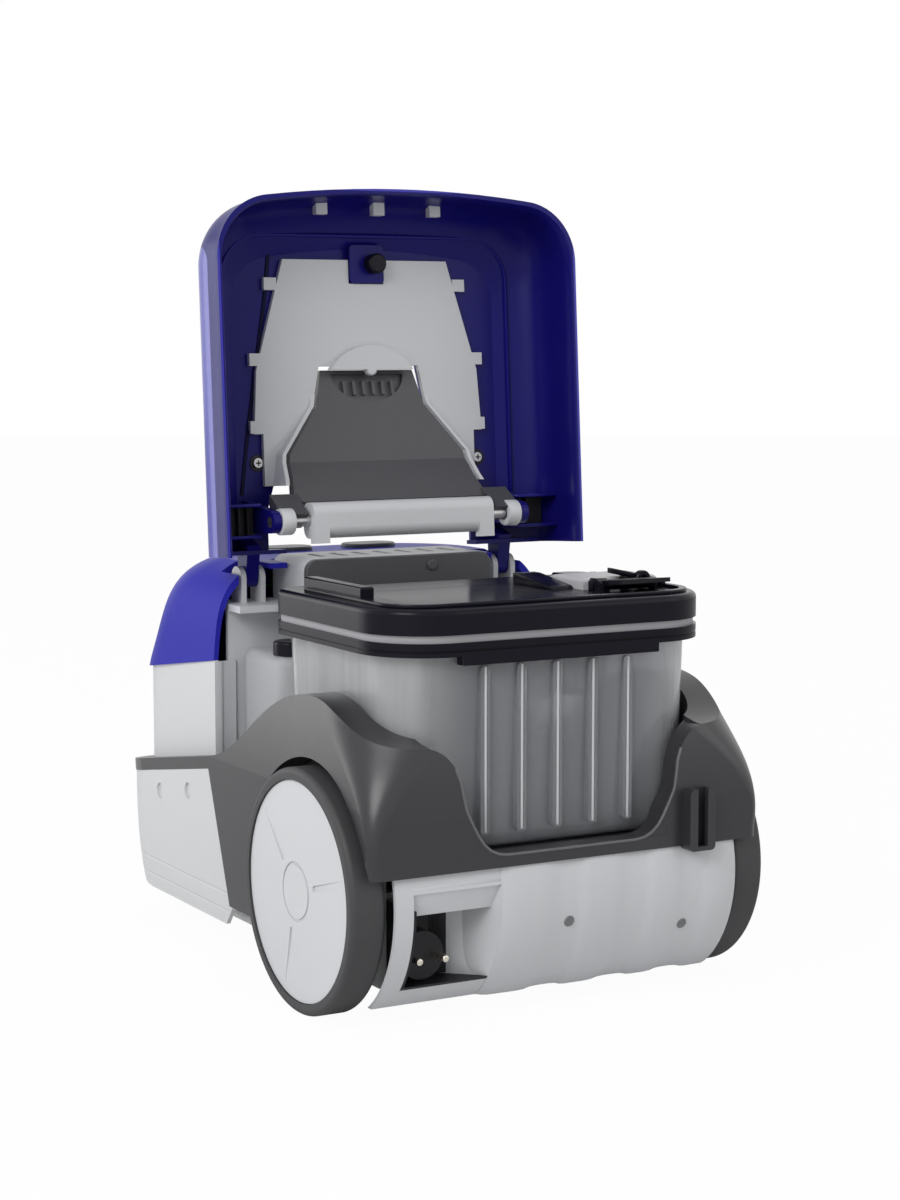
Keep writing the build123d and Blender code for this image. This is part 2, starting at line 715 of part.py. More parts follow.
with BuildPart() as rear_panel:
    extrude(panel_sector(PANEL_R, PANEL_IN), amount=PANEL_HW, both=True)
    add(flutes.part, mode=Mode.SUBTRACT)
    for x, z in PANEL_SCREWS:
        with BuildSketch(facing_rear(BASE_REAR)):
            with Locations((x, z)):
                Circle(SCREW_HEAD_R + WALL / 2)
        extrude(amount=BASE_REAR - panel_y(PANEL_IN, z) - WALL / 2)
        with BuildSketch(facing_rear(REAR)):
            with Locations((x, z)):
                Circle(SCREW_HEAD_R + RUN)
        extrude(amount=REAR - panel_y(PANEL_IN, z), mode=Mode.SUBTRACT)
        with BuildSketch(facing_rear(REAR)):
            with Locations((x, z)):
                Circle(SCREW_R + RUN)
        extrude(amount=REAR - BASE_REAR, mode=Mode.SUBTRACT)
    extrude(garage_outline(facing_rear(REAR), 0), amount=REAR - WHEEL_Y, mode=Mode.SUBTRACT)
    with BuildSketch(Plane.XY.offset(GARAGE_Z0)):
        with BuildLine():
            Polyline(
                (GARAGE_BACK_RIGHT, GARAGE_BACK),
                (GARAGE_BACK_RIGHT, PLUG_BACK),
                (GARAGE_RIGHT + GARAGE_T, panel_y(PANEL_R, GARAGE_Z0)),
                (GARAGE_RIGHT, panel_y(PANEL_R, GARAGE_Z0)),
                (GARAGE_RIGHT, panel_y(PANEL_IN, GARAGE_Z0) - WALL),
                (GARAGE_BACK_RIGHT - 2 * WALL, GARAGE_BACK),
                close=True,
            )
        make_face()
    extrude(amount=GARAGE_Z1 - GARAGE_Z0)
    with BuildSketch(Plane.YZ.offset(GARAGE_RIGHT)):
        with BuildLine():
            Polyline(
                (PLUG_BACK, GARAGE_HOLE_TOP),
                (PLUG_BACK, GARAGE_HOLE_TOP + GARAGE_T),
                (panel_y(PANEL_IN, GARAGE_Z1), GARAGE_Z1),
                (REAR, GARAGE_Z1),
                (REAR, GARAGE_Z1 - GARAGE_T),
                close=True,
            )
        make_face()
    extrude(amount=GARAGE_LEFT - GARAGE_RIGHT)
    extrude(ring(PANEL_R, 0, -PANEL_HW), amount=2 * PANEL_HW, mode=Mode.INTERSECT)
save(rear_panel, "rear_panel")

with BuildPart() as panel_screws:
    for x, z in PANEL_SCREWS:
        seat = panel_y(PANEL_IN, z)
        with BuildSketch(facing_rear(seat)):
            with Locations((x, z)):
                Circle(SCREW_HEAD_R)
        extrude(amount=-SCREW_HEAD_T)
        with BuildSketch(facing_rear(seat)):
            with Locations((x, z)):
                Circle(SCREW_R)
        extrude(amount=seat - BASE_REAR + WALL)
save(panel_screws, "panel_screws")

# Plug garage: dark cup behind the funnel in the rear panel, and the parked plug
with BuildPart() as plug_garage:
    with BuildSketch(Plane.XY.offset(GARAGE_Z0)):
        with BuildLine():
            Polyline(
                (GARAGE_BACK_RIGHT, GARAGE_BACK),
                (GARAGE_BACK_RIGHT, PLUG_BACK),
                (GARAGE_LEFT - GARAGE_T, PLUG_BACK),
                (GARAGE_LEFT - GARAGE_T, REAR),
                (GARAGE_LEFT, REAR),
                (GARAGE_LEFT, GARAGE_BACK),
                close=True,
            )
        make_face()
    extrude(amount=GARAGE_HOLE_TOP - GARAGE_Z0)
    with BuildSketch(Plane.XY.offset(GARAGE_Z0)):
        with BuildLine():
            Polyline(
                (GARAGE_BACK_RIGHT, PLUG_BACK),
                (GARAGE_LEFT, PLUG_BACK),
                (GARAGE_LEFT, REAR),
                (GARAGE_RIGHT + GARAGE_T, REAR),
                (GARAGE_RIGHT + GARAGE_T, panel_y(PANEL_R, GARAGE_Z0)),
                close=True,
            )
        make_face()
    extrude(amount=GARAGE_T)
    with BuildSketch(facing_rear(REAR)):
        with Locations((PLUG_X, PLUG_Z)):
            Circle(PLUG_NECK_R + RUN)
    extrude(amount=REAR - GARAGE_BACK, mode=Mode.SUBTRACT)
    extrude(ring(PANEL_R, 0, GARAGE_RIGHT), amount=GARAGE_LEFT - GARAGE_RIGHT, mode=Mode.INTERSECT)
save(plug_garage, "plug_garage")

with BuildPart() as plug_body:
    with BuildSketch(facing_rear(PLUG_BACK)):
        with Locations((PLUG_X, PLUG_Z)):
            Circle(PLUG_R)
    extrude(amount=-PLUG_L)
    fillet(plug_body.edges().group_by(Axis.Y)[0], PLUG_R / 4)
    with BuildSketch(facing_rear(PLUG_BACK)):
        with Locations((PLUG_X, PLUG_Z)):
            Circle(PLUG_NECK_R)
    extrude(amount=GARAGE_T)
    with BuildSketch(facing_rear(PLUG_BACK + PLUG_L)):
        with Locations((PLUG_X, PLUG_Z)):
            with GridLocations(PLUG_PIN_PITCH, 0, 2, 1):
                Circle(PLUG_PIN_R)
    extrude(amount=PLUG_L / 2, mode=Mode.SUBTRACT)
save(plug_body, "plug_body")

with BuildPart() as plug_pins:
    with BuildSketch(facing_rear(PLUG_BACK + PLUG_L / 2)):
        with Locations((PLUG_X, PLUG_Z)):
            with GridLocations(PLUG_PIN_PITCH, 0, 2, 1):
                Circle(PLUG_PIN_R)
    extrude(amount=-PLUG_L / 2 - PLUG_PIN_L)
    fillet(plug_pins.edges().group_by(Axis.Y)[-1], PLUG_PIN_R / 2)
save(plug_pins, "plug_pins")


# Bumper: belt round the front, shoulders over the wheels, deck and rear wall of the tank well
def shoulder_section():
    """Bumper seen from behind: high blocks at the sides, swept down to a low ledge between them."""
    with BuildSketch(facing_rear(REAR)) as section:
        with BuildLine():
            Polyline(
                (0, LEG_Z),
                (BUMPER_HW, LEG_Z),
                (BUMPER_HW, CREST_Z),
                (PLATEAU_X, CREST_Z),
                (PLATEAU_X, PLATEAU_Z),
            )
            Spline(
                (PLATEAU_X, PLATEAU_Z),
                *SWEEP,
                (REAR_LEDGE_HW, REAR_LEDGE_Z),
                tangents=((-1, -0.3), (-1, 0)),
            )
            Polyline((REAR_LEDGE_HW, REAR_LEDGE_Z), (0, REAR_LEDGE_Z), (0, LEG_Z))
        make_face()
        mirror(about=Plane.YZ)
    return section.sketch


def bumper_outline(z, side_in, rear_in, corner):
    """Plan of the bumper at height z, drawn in at the sides and the rear."""
    rear = BUMPER_REAR - rear_in
    with BuildSketch(Plane.XY.offset(z)) as outline:
        with Locations((0, (FRONT + rear) / 2)):
            Rectangle(2 * (BUMPER_HW - side_in), rear - FRONT)
        fillet(outline.vertices().group_by(Axis.Y)[0], BUMPER_CORNER)
        fillet(outline.vertices().group_by(Axis.Y)[-1], corner)
    return outline.sketch


def tank_outline(plane, grow):
    """Plan of the dirty-water tank's body, grown all round."""
    with BuildSketch(plane) as outline:
        with Locations((0, (TANK_FRONT + TANK_REAR) / 2)):
            Rectangle(2 * (TANK_HW + grow), TANK_REAR - TANK_FRONT + 2 * grow)
        fillet(outline.vertices().group_by(Axis.Y)[-1], TANK_REAR_CORNER + grow)
        fillet(outline.vertices().group_by(Axis.Y)[0], TANK_FRONT_CORNER + grow)
    return outline.sketch


SHOULDER_LEVELS = (
    (REAR_LEDGE_Z, 0.0, 0.0, 9.0),
    (BELT_SIDE_Z, 0.0, 0.5, 16.0),
    (172.0, 2.0, 3.0, 38.0),
    (190.0, 4.0, 6.0, 56.0),
    (CREST_Z, 7.0, 11.0, 62.0),
)
WELL_HW = TANK_HW + WELL_GAP
ARCH_IN = WELL_HW + 2 * WALL + GAP
with BuildPart() as bumper:
    extrude(bumper_outline(LEG_Z, *SHOULDER_LEVELS[0][1:]), amount=REAR_LEDGE_Z - LEG_Z)
    loft(sections=[bumper_outline(*level) for level in SHOULDER_LEVELS])
    extrude(bumper_side(), amount=BUMPER_HW, both=True, mode=Mode.INTERSECT)
    extrude(shoulder_section(), amount=LENGTH, mode=Mode.INTERSECT)
    extrude(
        nose_outline(LEG_Z, BASE_HW + GAP, BASE_FRONT - GAP, DECK_FRONT, BASE_CORNER),
        amount=CREST_Z,
        mode=Mode.SUBTRACT,
    )
    with BuildSketch(Plane.XY.offset(LEG_Z)):
        with Locations((0, (DECK_FRONT + REAR) / 2)):
            Rectangle(2 * (BASE_HW + GAP), REAR - DECK_FRONT)
    extrude(amount=DECK_Z - LEG_Z, mode=Mode.SUBTRACT)
    extrude(tank_outline(Plane.XY.offset(DECK_TOP), WELL_GAP), amount=CREST_Z, mode=Mode.SUBTRACT)
    with BuildSketch(Plane.XY.offset(DECK_TOP)):
        with Locations((0, (DECK_FRONT + TANK_FRONT + TANK_FRONT_CORNER) / 2)):
            Rectangle(2 * WELL_HW, TANK_FRONT + TANK_FRONT_CORNER - DECK_FRONT)
    extrude(amount=CREST_Z, mode=Mode.SUBTRACT)
    for side, _ in SIDES:
        extrude(ring(WHEEL_R + ARCH_GAP, 0, side * ARCH_IN), amount=side * BUMPER_HW, mode=Mode.SUBTRACT)
save(bumper, "bumper")

# Parking slot: slotted block on the bumper's rear wall that holds the floor tool
with BuildPart() as parking_slot:
    with BuildSketch(facing_rear(REAR)):
        with Locations((SLOT_X, (SLOT_Z0 + SLOT_Z1) / 2)):
            RectangleRounded(SLOT_W, SLOT_Z1 - SLOT_Z0, SLOT_W / 6)
    extrude(amount=REAR - TANK_REAR - WELL_GAP)
    with BuildSketch(facing_rear(REAR)):
        with Locations((SLOT_X, (SLOT_Z0 + SLOT_Z1) / 2 + WALL)):
            Rectangle(SLOT_SLIT, SLOT_Z1 - SLOT_Z0)
    extrude(amount=SLOT_LIP, mode=Mode.SUBTRACT)
    with BuildSketch(facing_rear(REAR - SLOT_LIP)):
        with Locations((SLOT_X, (SLOT_Z0 + SLOT_Z1) / 2 + WALL)):
            Rectangle(SLOT_W - 2 * WALL, SLOT_Z1 - SLOT_Z0)
    extrude(amount=SLOT_LIP, mode=Mode.SUBTRACT)
    extrude(bumper_side(), amount=BUMPER_HW, both=True, mode=Mode.SUBTRACT)
    extrude(panel_sector(PANEL_R, WALL), amount=BUMPER_HW, both=True, mode=Mode.SUBTRACT)
save(parking_slot, "parking_slot")


# Front skirt: light shell below the belt, drawn in towards the floor, with three dimples a side
SKIRT_LEVELS = ((SKIRT_Z, 17.0), (50.0, 8.0), (85.0, 2.0), (BELT_SIDE_Z, 0.0))
DIMPLE_Y = (FRONT + 93.0, FRONT + 135.0, FRONT + 188.0)
DIMPLE_R = 6.0
DIMPLE_DROP = 16.0
DIMPLE_DEPTH = 1.2


def skirt_sections(inset):
    """Plan outlines of the skirt from its lower edge to the belt."""
    return [
        nose_outline(
            z, BUMPER_HW - draw / 3 - inset, FRONT + draw + inset, LEG_REAR, BUMPER_CORNER - draw - inset
        )
        for z, draw in SKIRT_LEVELS
    ]


with BuildPart() as front_skirt:
    loft(sections=skirt_sections(0))
    loft(sections=skirt_sections(WALL), mode=Mode.SUBTRACT)
    with BuildSketch(Plane.YZ):
        with BuildLine():
            Polyline(
                (FRONT, BELT_FRONT_Z - BELT_T),
                (BELT_SIDE_Y, BELT_SIDE_Z - BELT_T),
                (LEG_FRONT, LEG_Z),
                (0, SKIRT_Z),
                (FRONT, SKIRT_Z),
                close=True,
            )
        make_face()
    extrude(amount=BUMPER_HW, both=True, mode=Mode.INTERSECT)
    for side, _ in SIDES:
        for y in DIMPLE_Y:
            with BuildSketch(Plane.YZ.offset(side * BUMPER_HW)):
                with Locations((y, belt_top(y) - BELT_T - DIMPLE_DROP)):
                    Circle(DIMPLE_R)
            extrude(amount=-side * (DIMPLE_DEPTH + WALL / 3), mode=Mode.SUBTRACT)
save(front_skirt, "front_skirt")


# Front housing: light U-shaped wall standing on the belt, with the hose opening in its nose
def cowl_line(rise):
    """Everything above the sloping joint between housing and cowl, raised by rise."""
    drop = (COWL_REAR_Z - COWL_FRONT_Z) / (HOUSING_REAR - FRONT)
    with BuildSketch(Plane.YZ) as above:
        with BuildLine():
            Polyline(
                (FRONT, COWL_FRONT_Z + rise),
                (REAR, COWL_FRONT_Z + rise + drop * LENGTH),
                (REAR, 2 * HINGE_Z),
                (FRONT, 2 * HINGE_Z),
                close=True,
            )
        make_face()
    return above.sketch


with BuildPart() as front_housing:
    extrude(
        nose_outline(DECK_Z, HOUSING_HW, HOUSING_FRONT, HOUSING_REAR, HOUSING_CORNER),
        amount=HINGE_Z - DECK_Z,
    )
    extrude(
        nose_outline(DECK_Z, HOUSING_HW - WALL, HOUSING_FRONT + WALL, REAR, HOUSING_CORNER - WALL),
        amount=HINGE_Z - DECK_Z,
        mode=Mode.SUBTRACT,
    )
    extrude(cowl_line(0), amount=HOUSING_HW, both=True, mode=Mode.SUBTRACT)
    extrude(bumper_side(), amount=HOUSING_HW, both=True, mode=Mode.SUBTRACT)
    with BuildSketch(Plane.YZ):
        with BuildLine():
            Polyline(
                (FRONT, BELT_FRONT_Z - BELT_T),
                (HOUSING_REAR, belt_top(HOUSING_REAR) - BELT_T),
                (HOUSING_REAR, 0),
                (FRONT, 0),
                close=True,
            )
        make_face()
    extrude(amount=HOUSING_HW, both=True, mode=Mode.SUBTRACT)
    with BuildSketch(facing_rear(HOUSING_FRONT + HOUSING_CORNER)):
        with Locations((DUCT_X, INLET_Z)):
            Circle(HOSE_R + DUCT_WALL)
    extrude(amount=HOUSING_CORNER, mode=Mode.SUBTRACT)
save(front_housing, "front_housing")

# Front cowl: blue nose moulding over the housing, open below and behind
COWL_SECTIONS = (
    (176.0, HOUSING_HW + 2.5, FRONT + 9.0, 104.0),
    (212.0, HOUSING_HW + 1.0, FRONT + 20.0, 101.0),
    (244.0, HOUSING_HW - 2.5, FRONT + 38.0, 97.0),
    (262.0, HOUSING_HW - 9.0, FRONT + 54.0, 89.0),
    (274.0, HOUSING_HW - 20.0, FRONT + 73.0, 78.0),
    (281.0, HOUSING_HW - 33.0, FRONT + 93.0, 66.0),
)


def cowl_sections(inset, rear):
    """Plan outlines of the cowl from its lower edge to its roof."""
    return [
        nose_outline(
            z - inset * (z - COWL_FRONT_Z) / (HINGE_Z - COWL_FRONT_Z), w - inset, front + inset, rear, c
        )
        for z, w, front, c in COWL_SECTIONS
    ]


ROOF_Z = COWL_SECTIONS[-1][0]
BOARD_HW = 66.0
BOARD_SETBACK = 93.0
BOARD_L = 44.0
BOARD_Y0 = FRONT + BOARD_SETBACK
BOARD_Y1 = BOARD_Y0 + BOARD_L
BOARD_Z = 256.0
BOARD_T = 1.6
POST_R = 4.0
BUTTON_X = 36.0
BUTTON_Y = (BOARD_Y0 + BOARD_Y1) / 2
BUTTON_L = 44.0
BUTTON_W = 26.0
BUTTON_RISE = 3.0
BUTTON_TRAVEL = 4.0
BUTTON_STEM_R = 4.0

with BuildPart() as front_cowl:
    loft(sections=cowl_sections(0, HOUSING_REAR))
    loft(sections=cowl_sections(COWL_T, HOUSING_REAR + WALL), mode=Mode.SUBTRACT)
    extrude(cowl_line(0), amount=BUMPER_HW, both=True, mode=Mode.INTERSECT)
    with BuildSketch(Plane.XY.offset(HINGE_Z - CHEEK_R)):
        with Locations((0, (COWL_NOTCH_Y + HOUSING_REAR) / 2)):
            Rectangle(2 * COWL_NOTCH_HW, HOUSING_REAR - COWL_NOTCH_Y)
        for side, _ in SIDES:
            with Locations((side * ARM_X, (COWL_NOTCH_Y + HOUSING_REAR) / 2)):
                Rectangle(ARM_W + 2 * (GAP + CHEEK_T + HINGE_PIN_R), HOUSING_REAR - COWL_NOTCH_Y)
    extrude(amount=HINGE_Z, mode=Mode.SUBTRACT)
    with BuildSketch(Plane.XY.offset(BOARD_Z + BOARD_T)):
        with Locations((0, (BOARD_Y0 + BOARD_Y1) / 2)):
            with GridLocations(2 * (BOARD_HW - POST_R), BOARD_Y1 - BOARD_Y0 - 2 * POST_R, 2, 2):
                Circle(POST_R)
    extrude(amount=ROOF_Z - COWL_T - BOARD_Z)
    with BuildSketch(Plane.XY.offset(ROOF_Z - 2 * COWL_T)):
        with Locations((-BUTTON_X, BUTTON_Y), (BUTTON_X, BUTTON_Y)):
            SlotOverall(BUTTON_L + 2 * GAP, BUTTON_W + 2 * GAP)
    extrude(amount=4 * COWL_T, mode=Mode.SUBTRACT)
save(front_cowl, "front_cowl")

# Control board under the roof, and the two sprung buttons above it
with BuildPart() as control_board:
    with BuildSketch(Plane.XY.offset(BOARD_Z)):
        with Locations((0, (BOARD_Y0 + BOARD_Y1) / 2)):
            Rectangle(2 * BOARD_HW, BOARD_Y1 - BOARD_Y0)
    extrude(amount=BOARD_T)
    with BuildSketch(Plane.XY.offset(BOARD_Z + BOARD_T)):
        with Locations((-BUTTON_X, BUTTON_Y), (BUTTON_X, BUTTON_Y)):
            Rectangle(3 * BUTTON_STEM_R, 3 * BUTTON_STEM_R)
    extrude(amount=BUTTON_STEM_R)
    with BuildSketch(Plane.XY.offset(BOARD_Z)):
        with Locations((0, (BOARD_Y0 + BOARD_Y1) / 2)):
            with GridLocations(3 * BUTTON_STEM_R, 0, 5, 1):
                Rectangle(2 * BUTTON_STEM_R, 4 * BUTTON_STEM_R)
    extrude(amount=-2 * BUTTON_STEM_R)
save(control_board, "control_board")

SWITCH_TOP = BOARD_Z + BOARD_T + BUTTON_STEM_R
for x, button_name in ((BUTTON_X, "power_button"), (-BUTTON_X, "rewind_button")):
    with BuildPart() as button:
        with BuildSketch(Plane.XY.offset(ROOF_Z - COWL_T)):
            with Locations((x, BUTTON_Y)):
                SlotOverall(BUTTON_L, BUTTON_W)
        extrude(amount=COWL_T + BUTTON_RISE)
        fillet(button.edges().group_by(Axis.Z)[-1], BUTTON_RISE / 2)
        with BuildSketch(Plane.XY.offset(SWITCH_TOP + BUTTON_TRAVEL + GAP)):
            with Locations((x, BUTTON_Y)):
                Circle(BUTTON_STEM_R)
        extrude(amount=ROOF_Z - COWL_T - SWITCH_TOP - BUTTON_TRAVEL - GAP)
    save(button, button_name)

# Bulkhead: wall across the deck with the filter box, hinge cheeks and duct holes
WING_Z = 156.0
SHELF_Z = 248.0
SHELF_T = 5.0
SHELF_BEHIND = 29.0
SHELF_REAR = HINGE_Y + SHELF_BEHIND
VENTS = 7
VENT_PITCH = 18.0
FILTER_MID_Z = (FILTER_Z + FILTER_TOP) / 2
BULKHEAD_REAR = BULKHEAD_FRONT + BULKHEAD_T
CHEEK_IN = ARM_X - ARM_W / 2 - GAP - CHEEK_T
CHEEK_OUT = ARM_X + ARM_W / 2 + GAP
with BuildPart() as bulkhead:
    with BuildSketch(facing_rear(BULKHEAD_REAR)):
        with Locations((0, (DECK_TOP + SHELF_Z) / 2)):
            Rectangle(2 * (WELL_HW - GAP), SHELF_Z - DECK_TOP)
        with Locations((0, (WING_Z + SHELF_Z) / 2)):
            Rectangle(2 * (HOUSING_HW - 4 * WALL), SHELF_Z - WING_Z)
        with Locations((DUCT_X, INLET_Z), (DUCT_X, SUCTION_Z)):
            Circle(HOSE_R + DUCT_WALL, mode=Mode.SUBTRACT)
    extrude(amount=BULKHEAD_T)
    with BuildSketch(Plane.XY.offset(SHELF_Z)):
        with Locations((0, (FILTER_FRONT + SHELF_REAR) / 2)):
            Rectangle(2 * (HOUSING_HW - 4 * WALL), SHELF_REAR - FILTER_FRONT)
    extrude(amount=SHELF_T)
    with BuildSketch(Plane.XY.offset(FILTER_Z)):
        with Locations((0, (FILTER_FRONT + FILTER_REAR) / 2)):
            Rectangle(2 * FILTER_HW, FILTER_REAR - FILTER_FRONT)
    extrude(amount=FILTER_TOP - FILTER_Z)
    fillet(bulkhead.edges().filter_by(Axis.Y).group_by(Axis.Z)[-1], 3 * WALL)
    with BuildSketch(facing_rear(FILTER_REAR)):
        with Locations((0, FILTER_MID_Z)):
            RectangleRounded(2 * (FILTER_HW - WALL), FILTER_TOP - FILTER_Z - 2 * WALL, 2 * WALL)
    extrude(amount=FILTER_REAR - FILTER_FRONT - WALL, mode=Mode.SUBTRACT)
    with BuildSketch(Plane.XY.offset(FILTER_TOP)):
        with Locations((0, (FILTER_FRONT + FILTER_REAR) / 2)):
            with GridLocations(VENT_PITCH, 0, VENTS, 1):
                SlotOverall((FILTER_REAR - FILTER_FRONT) / 2, VENT_PITCH / 3, rotation=90)
    extrude(amount=-WALL, mode=Mode.SUBTRACT)
    for x in (CHEEK_IN, CHEEK_OUT, -CHEEK_IN - CHEEK_T, -CHEEK_OUT - CHEEK_T):
        with BuildSketch(Plane.YZ.offset(x)):
            with Locations((HINGE_Y, HINGE_Z)):
                Circle(CHEEK_R)
            with Locations((HINGE_Y, (SHELF_Z + HINGE_Z) / 2)):
                Rectangle(2 * CHEEK_R, HINGE_Z - SHELF_Z)
            with Locations((HINGE_Y, HINGE_Z)):
                Circle(HINGE_PIN_R, mode=Mode.SUBTRACT)
        extrude(amount=CHEEK_T)
save(bulkhead, "bulkhead")

with BuildPart() as hinge_pins:
    for side, _ in SIDES:
        with BuildSketch(Plane.YZ.offset(side * CHEEK_IN)):
            with Locations((HINGE_Y, HINGE_Z)):
                Circle(HINGE_PIN_R)
        extrude(amount=side * (CHEEK_OUT + CHEEK_T - CHEEK_IN))
        with BuildSketch(Plane.YZ.offset(side * CHEEK_IN)):
            with Locations((HINGE_Y, HINGE_Z)):
                Circle(2 * HINGE_PIN_R)
        extrude(amount=-side * HINGE_PIN_R / 2)
save(hinge_pins, "hinge_pins")

# Exhaust filter cartridge and the dark cover that closes its box
PLEATS = 12
PLEAT_DEPTH = 14.0
FILTER_FRAME = 4.0
with BuildPart() as exhaust_filter:
    cartridge_hw = FILTER_HW - 3 * WALL
    with BuildSketch(Plane.XY.offset(FILTER_Z + WALL)):
        with BuildLine():
            pitch = 2 * cartridge_hw / PLEATS
            folds = [
                (-cartridge_hw + pitch * (i + 0.5), FILTER_REAR - FILTER_FRAME - PLEAT_DEPTH * (i % 2))
                for i in range(PLEATS)
            ]
            Polyline(
                (-cartridge_hw, FILTER_FRONT + 2 * WALL),
                (-cartridge_hw, FILTER_REAR - FILTER_FRAME),
                *folds,
                (cartridge_hw, FILTER_REAR - FILTER_FRAME),
                (cartridge_hw, FILTER_FRONT + 2 * WALL),
                close=True,
            )
        make_face()
    extrude(amount=FILTER_TOP - FILTER_Z - 2 * WALL)
save(exhaust_filter, "exhaust_filter")

COVER_KNOB_X = -26.0
COVER_KNOB_R = 4.0
with BuildPart() as filter_cover:
    with BuildSketch(facing_rear(FILTER_REAR)):
        with Locations((0, FILTER_MID_Z)):
            RectangleRounded(2 * (FILTER_HW - GAP), FILTER_TOP - FILTER_Z - GAP, 3 * WALL)
    extrude(amount=-COVER_T)
    fillet(filter_cover.edges().group_by(Axis.Y)[-1], COVER_T / 4)
    with BuildSketch(facing_rear(FILTER_REAR + COVER_T)):
        with Locations((COVER_KNOB_X, FILTER_TOP - 2 * COVER_KNOB_R)):
            Circle(COVER_KNOB_R)
    extrude(amount=-COVER_KNOB_R / 2)
    fillet(filter_cover.edges().group_by(Axis.Y)[-1], COVER_KNOB_R / 4)
save(filter_cover, "filter_cover")

# Air path: hose socket in the nose, inlet duct to the tank, suction duct, air box, fan and motor
DUCT_REAR = TANK_FRONT - GAP
SOCKET_LIP = 4.0
SOCKET_L = 40.0
SOCKET_FRONT = HOUSING_FRONT + SOCKET_LIP


def duct(y0, y1, z, outer, inner):
    """Straight round tube along the machine at the duct line."""
    with BuildSketch(facing_rear(y1)) as section:
        with Locations((DUCT_X, z)):
            Circle(outer)
            Circle(inner, mode=Mode.SUBTRACT)
    return extrude(section.sketch, amount=y1 - y0)


with BuildPart() as hose_socket:
    add(duct(SOCKET_FRONT, SOCKET_FRONT + SOCKET_L, INLET_Z, HOSE_R + DUCT_WALL, HOSE_R))
    add(duct(SOCKET_FRONT - SOCKET_LIP, SOCKET_FRONT, INLET_Z, HOSE_R + 2 * DUCT_WALL, HOSE_R))
save(hose_socket, "hose_socket")

with BuildPart() as inlet_duct:
    add(duct(SOCKET_FRONT + SOCKET_L, DUCT_REAR, INLET_Z, HOSE_R + DUCT_WALL, HOSE_R - HOSE_STOP))
save(inlet_duct, "inlet_duct")

AIR_BOX_REAR = BULKHEAD_FRONT
AIR_BOX_FRONT = AIR_BOX_REAR - AIR_BOX_L
AIR_BOX_RIGHT = DUCT_X - HOSE_R - 3 * DUCT_WALL
AIR_BOX_LEFT = MOTOR_X + FAN_EYE_R + 6 * DUCT_WALL
AIR_BOX_Z0 = INLET_Z + HOSE_R + 2 * DUCT_WALL
AIR_BOX_Z1 = SHELF_Z - 4 * DUCT_WALL

with BuildPart() as suction_duct:
    add(duct(BULKHEAD_FRONT, DUCT_REAR, SUCTION_Z, HOSE_R + DUCT_WALL, HOSE_R))
save(suction_duct, "suction_duct")

with BuildPart() as air_box:
    with BuildSketch(facing_rear(AIR_BOX_REAR)):
        with Locations(((AIR_BOX_LEFT + AIR_BOX_RIGHT) / 2, (AIR_BOX_Z0 + AIR_BOX_Z1) / 2)):
            RectangleRounded(AIR_BOX_LEFT - AIR_BOX_RIGHT, AIR_BOX_Z1 - AIR_BOX_Z0, 4 * DUCT_WALL)
    extrude(amount=AIR_BOX_L)
    with BuildSketch(facing_rear(AIR_BOX_REAR - DUCT_WALL)):
        with Locations(((AIR_BOX_LEFT + AIR_BOX_RIGHT) / 2, (AIR_BOX_Z0 + AIR_BOX_Z1) / 2)):
            RectangleRounded(
                AIR_BOX_LEFT - AIR_BOX_RIGHT - 2 * DUCT_WALL,
                AIR_BOX_Z1 - AIR_BOX_Z0 - 2 * DUCT_WALL,
                3 * DUCT_WALL,
            )
    extrude(amount=AIR_BOX_L - 2 * DUCT_WALL, mode=Mode.SUBTRACT)
    with BuildSketch(facing_rear(AIR_BOX_REAR)):
        with Locations((DUCT_X, SUCTION_Z)):
            Circle(HOSE_R)
    extrude(amount=DUCT_WALL, mode=Mode.SUBTRACT)
    with BuildSketch(facing_rear(AIR_BOX_FRONT + DUCT_WALL)):
        with Locations((MOTOR_X, MOTOR_Z)):
            Circle(FAN_EYE_R)
    extrude(amount=DUCT_WALL, mode=Mode.SUBTRACT)
save(air_box, "air_box")

FAN_REAR = AIR_BOX_FRONT
FAN_FRONT = FAN_REAR - FAN_L
FAN_CLEAR = 3.0
BEARING_R = 12.0


def on_motor_axis(y, outer, inner, length):
    """Round disc or ring about the motor's axis, from y towards the front."""
    with BuildSketch(facing_rear(y)) as section:
        with Locations((MOTOR_X, MOTOR_Z)):
            Circle(outer)
            if inner:
                Circle(inner, mode=Mode.SUBTRACT)
    return extrude(section.sketch, amount=length)


with BuildPart() as fan_housing:
    add(on_motor_axis(FAN_REAR, FAN_R, 0, FAN_L))
    add(on_motor_axis(FAN_REAR - WALL, FAN_R - WALL, 0, FAN_L - 2 * WALL), mode=Mode.SUBTRACT)
    add(on_motor_axis(FAN_REAR, FAN_EYE_R, 0, WALL), mode=Mode.SUBTRACT)
    add(on_motor_axis(FAN_FRONT + WALL, BEARING_R, 0, WALL), mode=Mode.SUBTRACT)
save(fan_housing, "fan_housing")

with BuildPart() as motor_can:
    add(on_motor_axis(FAN_FRONT, MOTOR_R, 0, MOTOR_L))
    add(on_motor_axis(FAN_FRONT - 2 * WALL, MOTOR_R - WALL, 0, MOTOR_L - 4 * WALL), mode=Mode.SUBTRACT)
    add(on_motor_axis(FAN_FRONT, SHAFT_R + RUN, 0, MOTOR_L), mode=Mode.SUBTRACT)
    with BuildSketch(facing_rear(FAN_FRONT)):
        with Locations((MOTOR_X, MOTOR_Z)):
            with PolarLocations((MOTOR_R + BEARING_R) / 2, SPOKES):
                Circle(BEARING_R / 2)
    extrude(amount=MOTOR_L, mode=Mode.SUBTRACT)
save(motor_can, "motor_can")

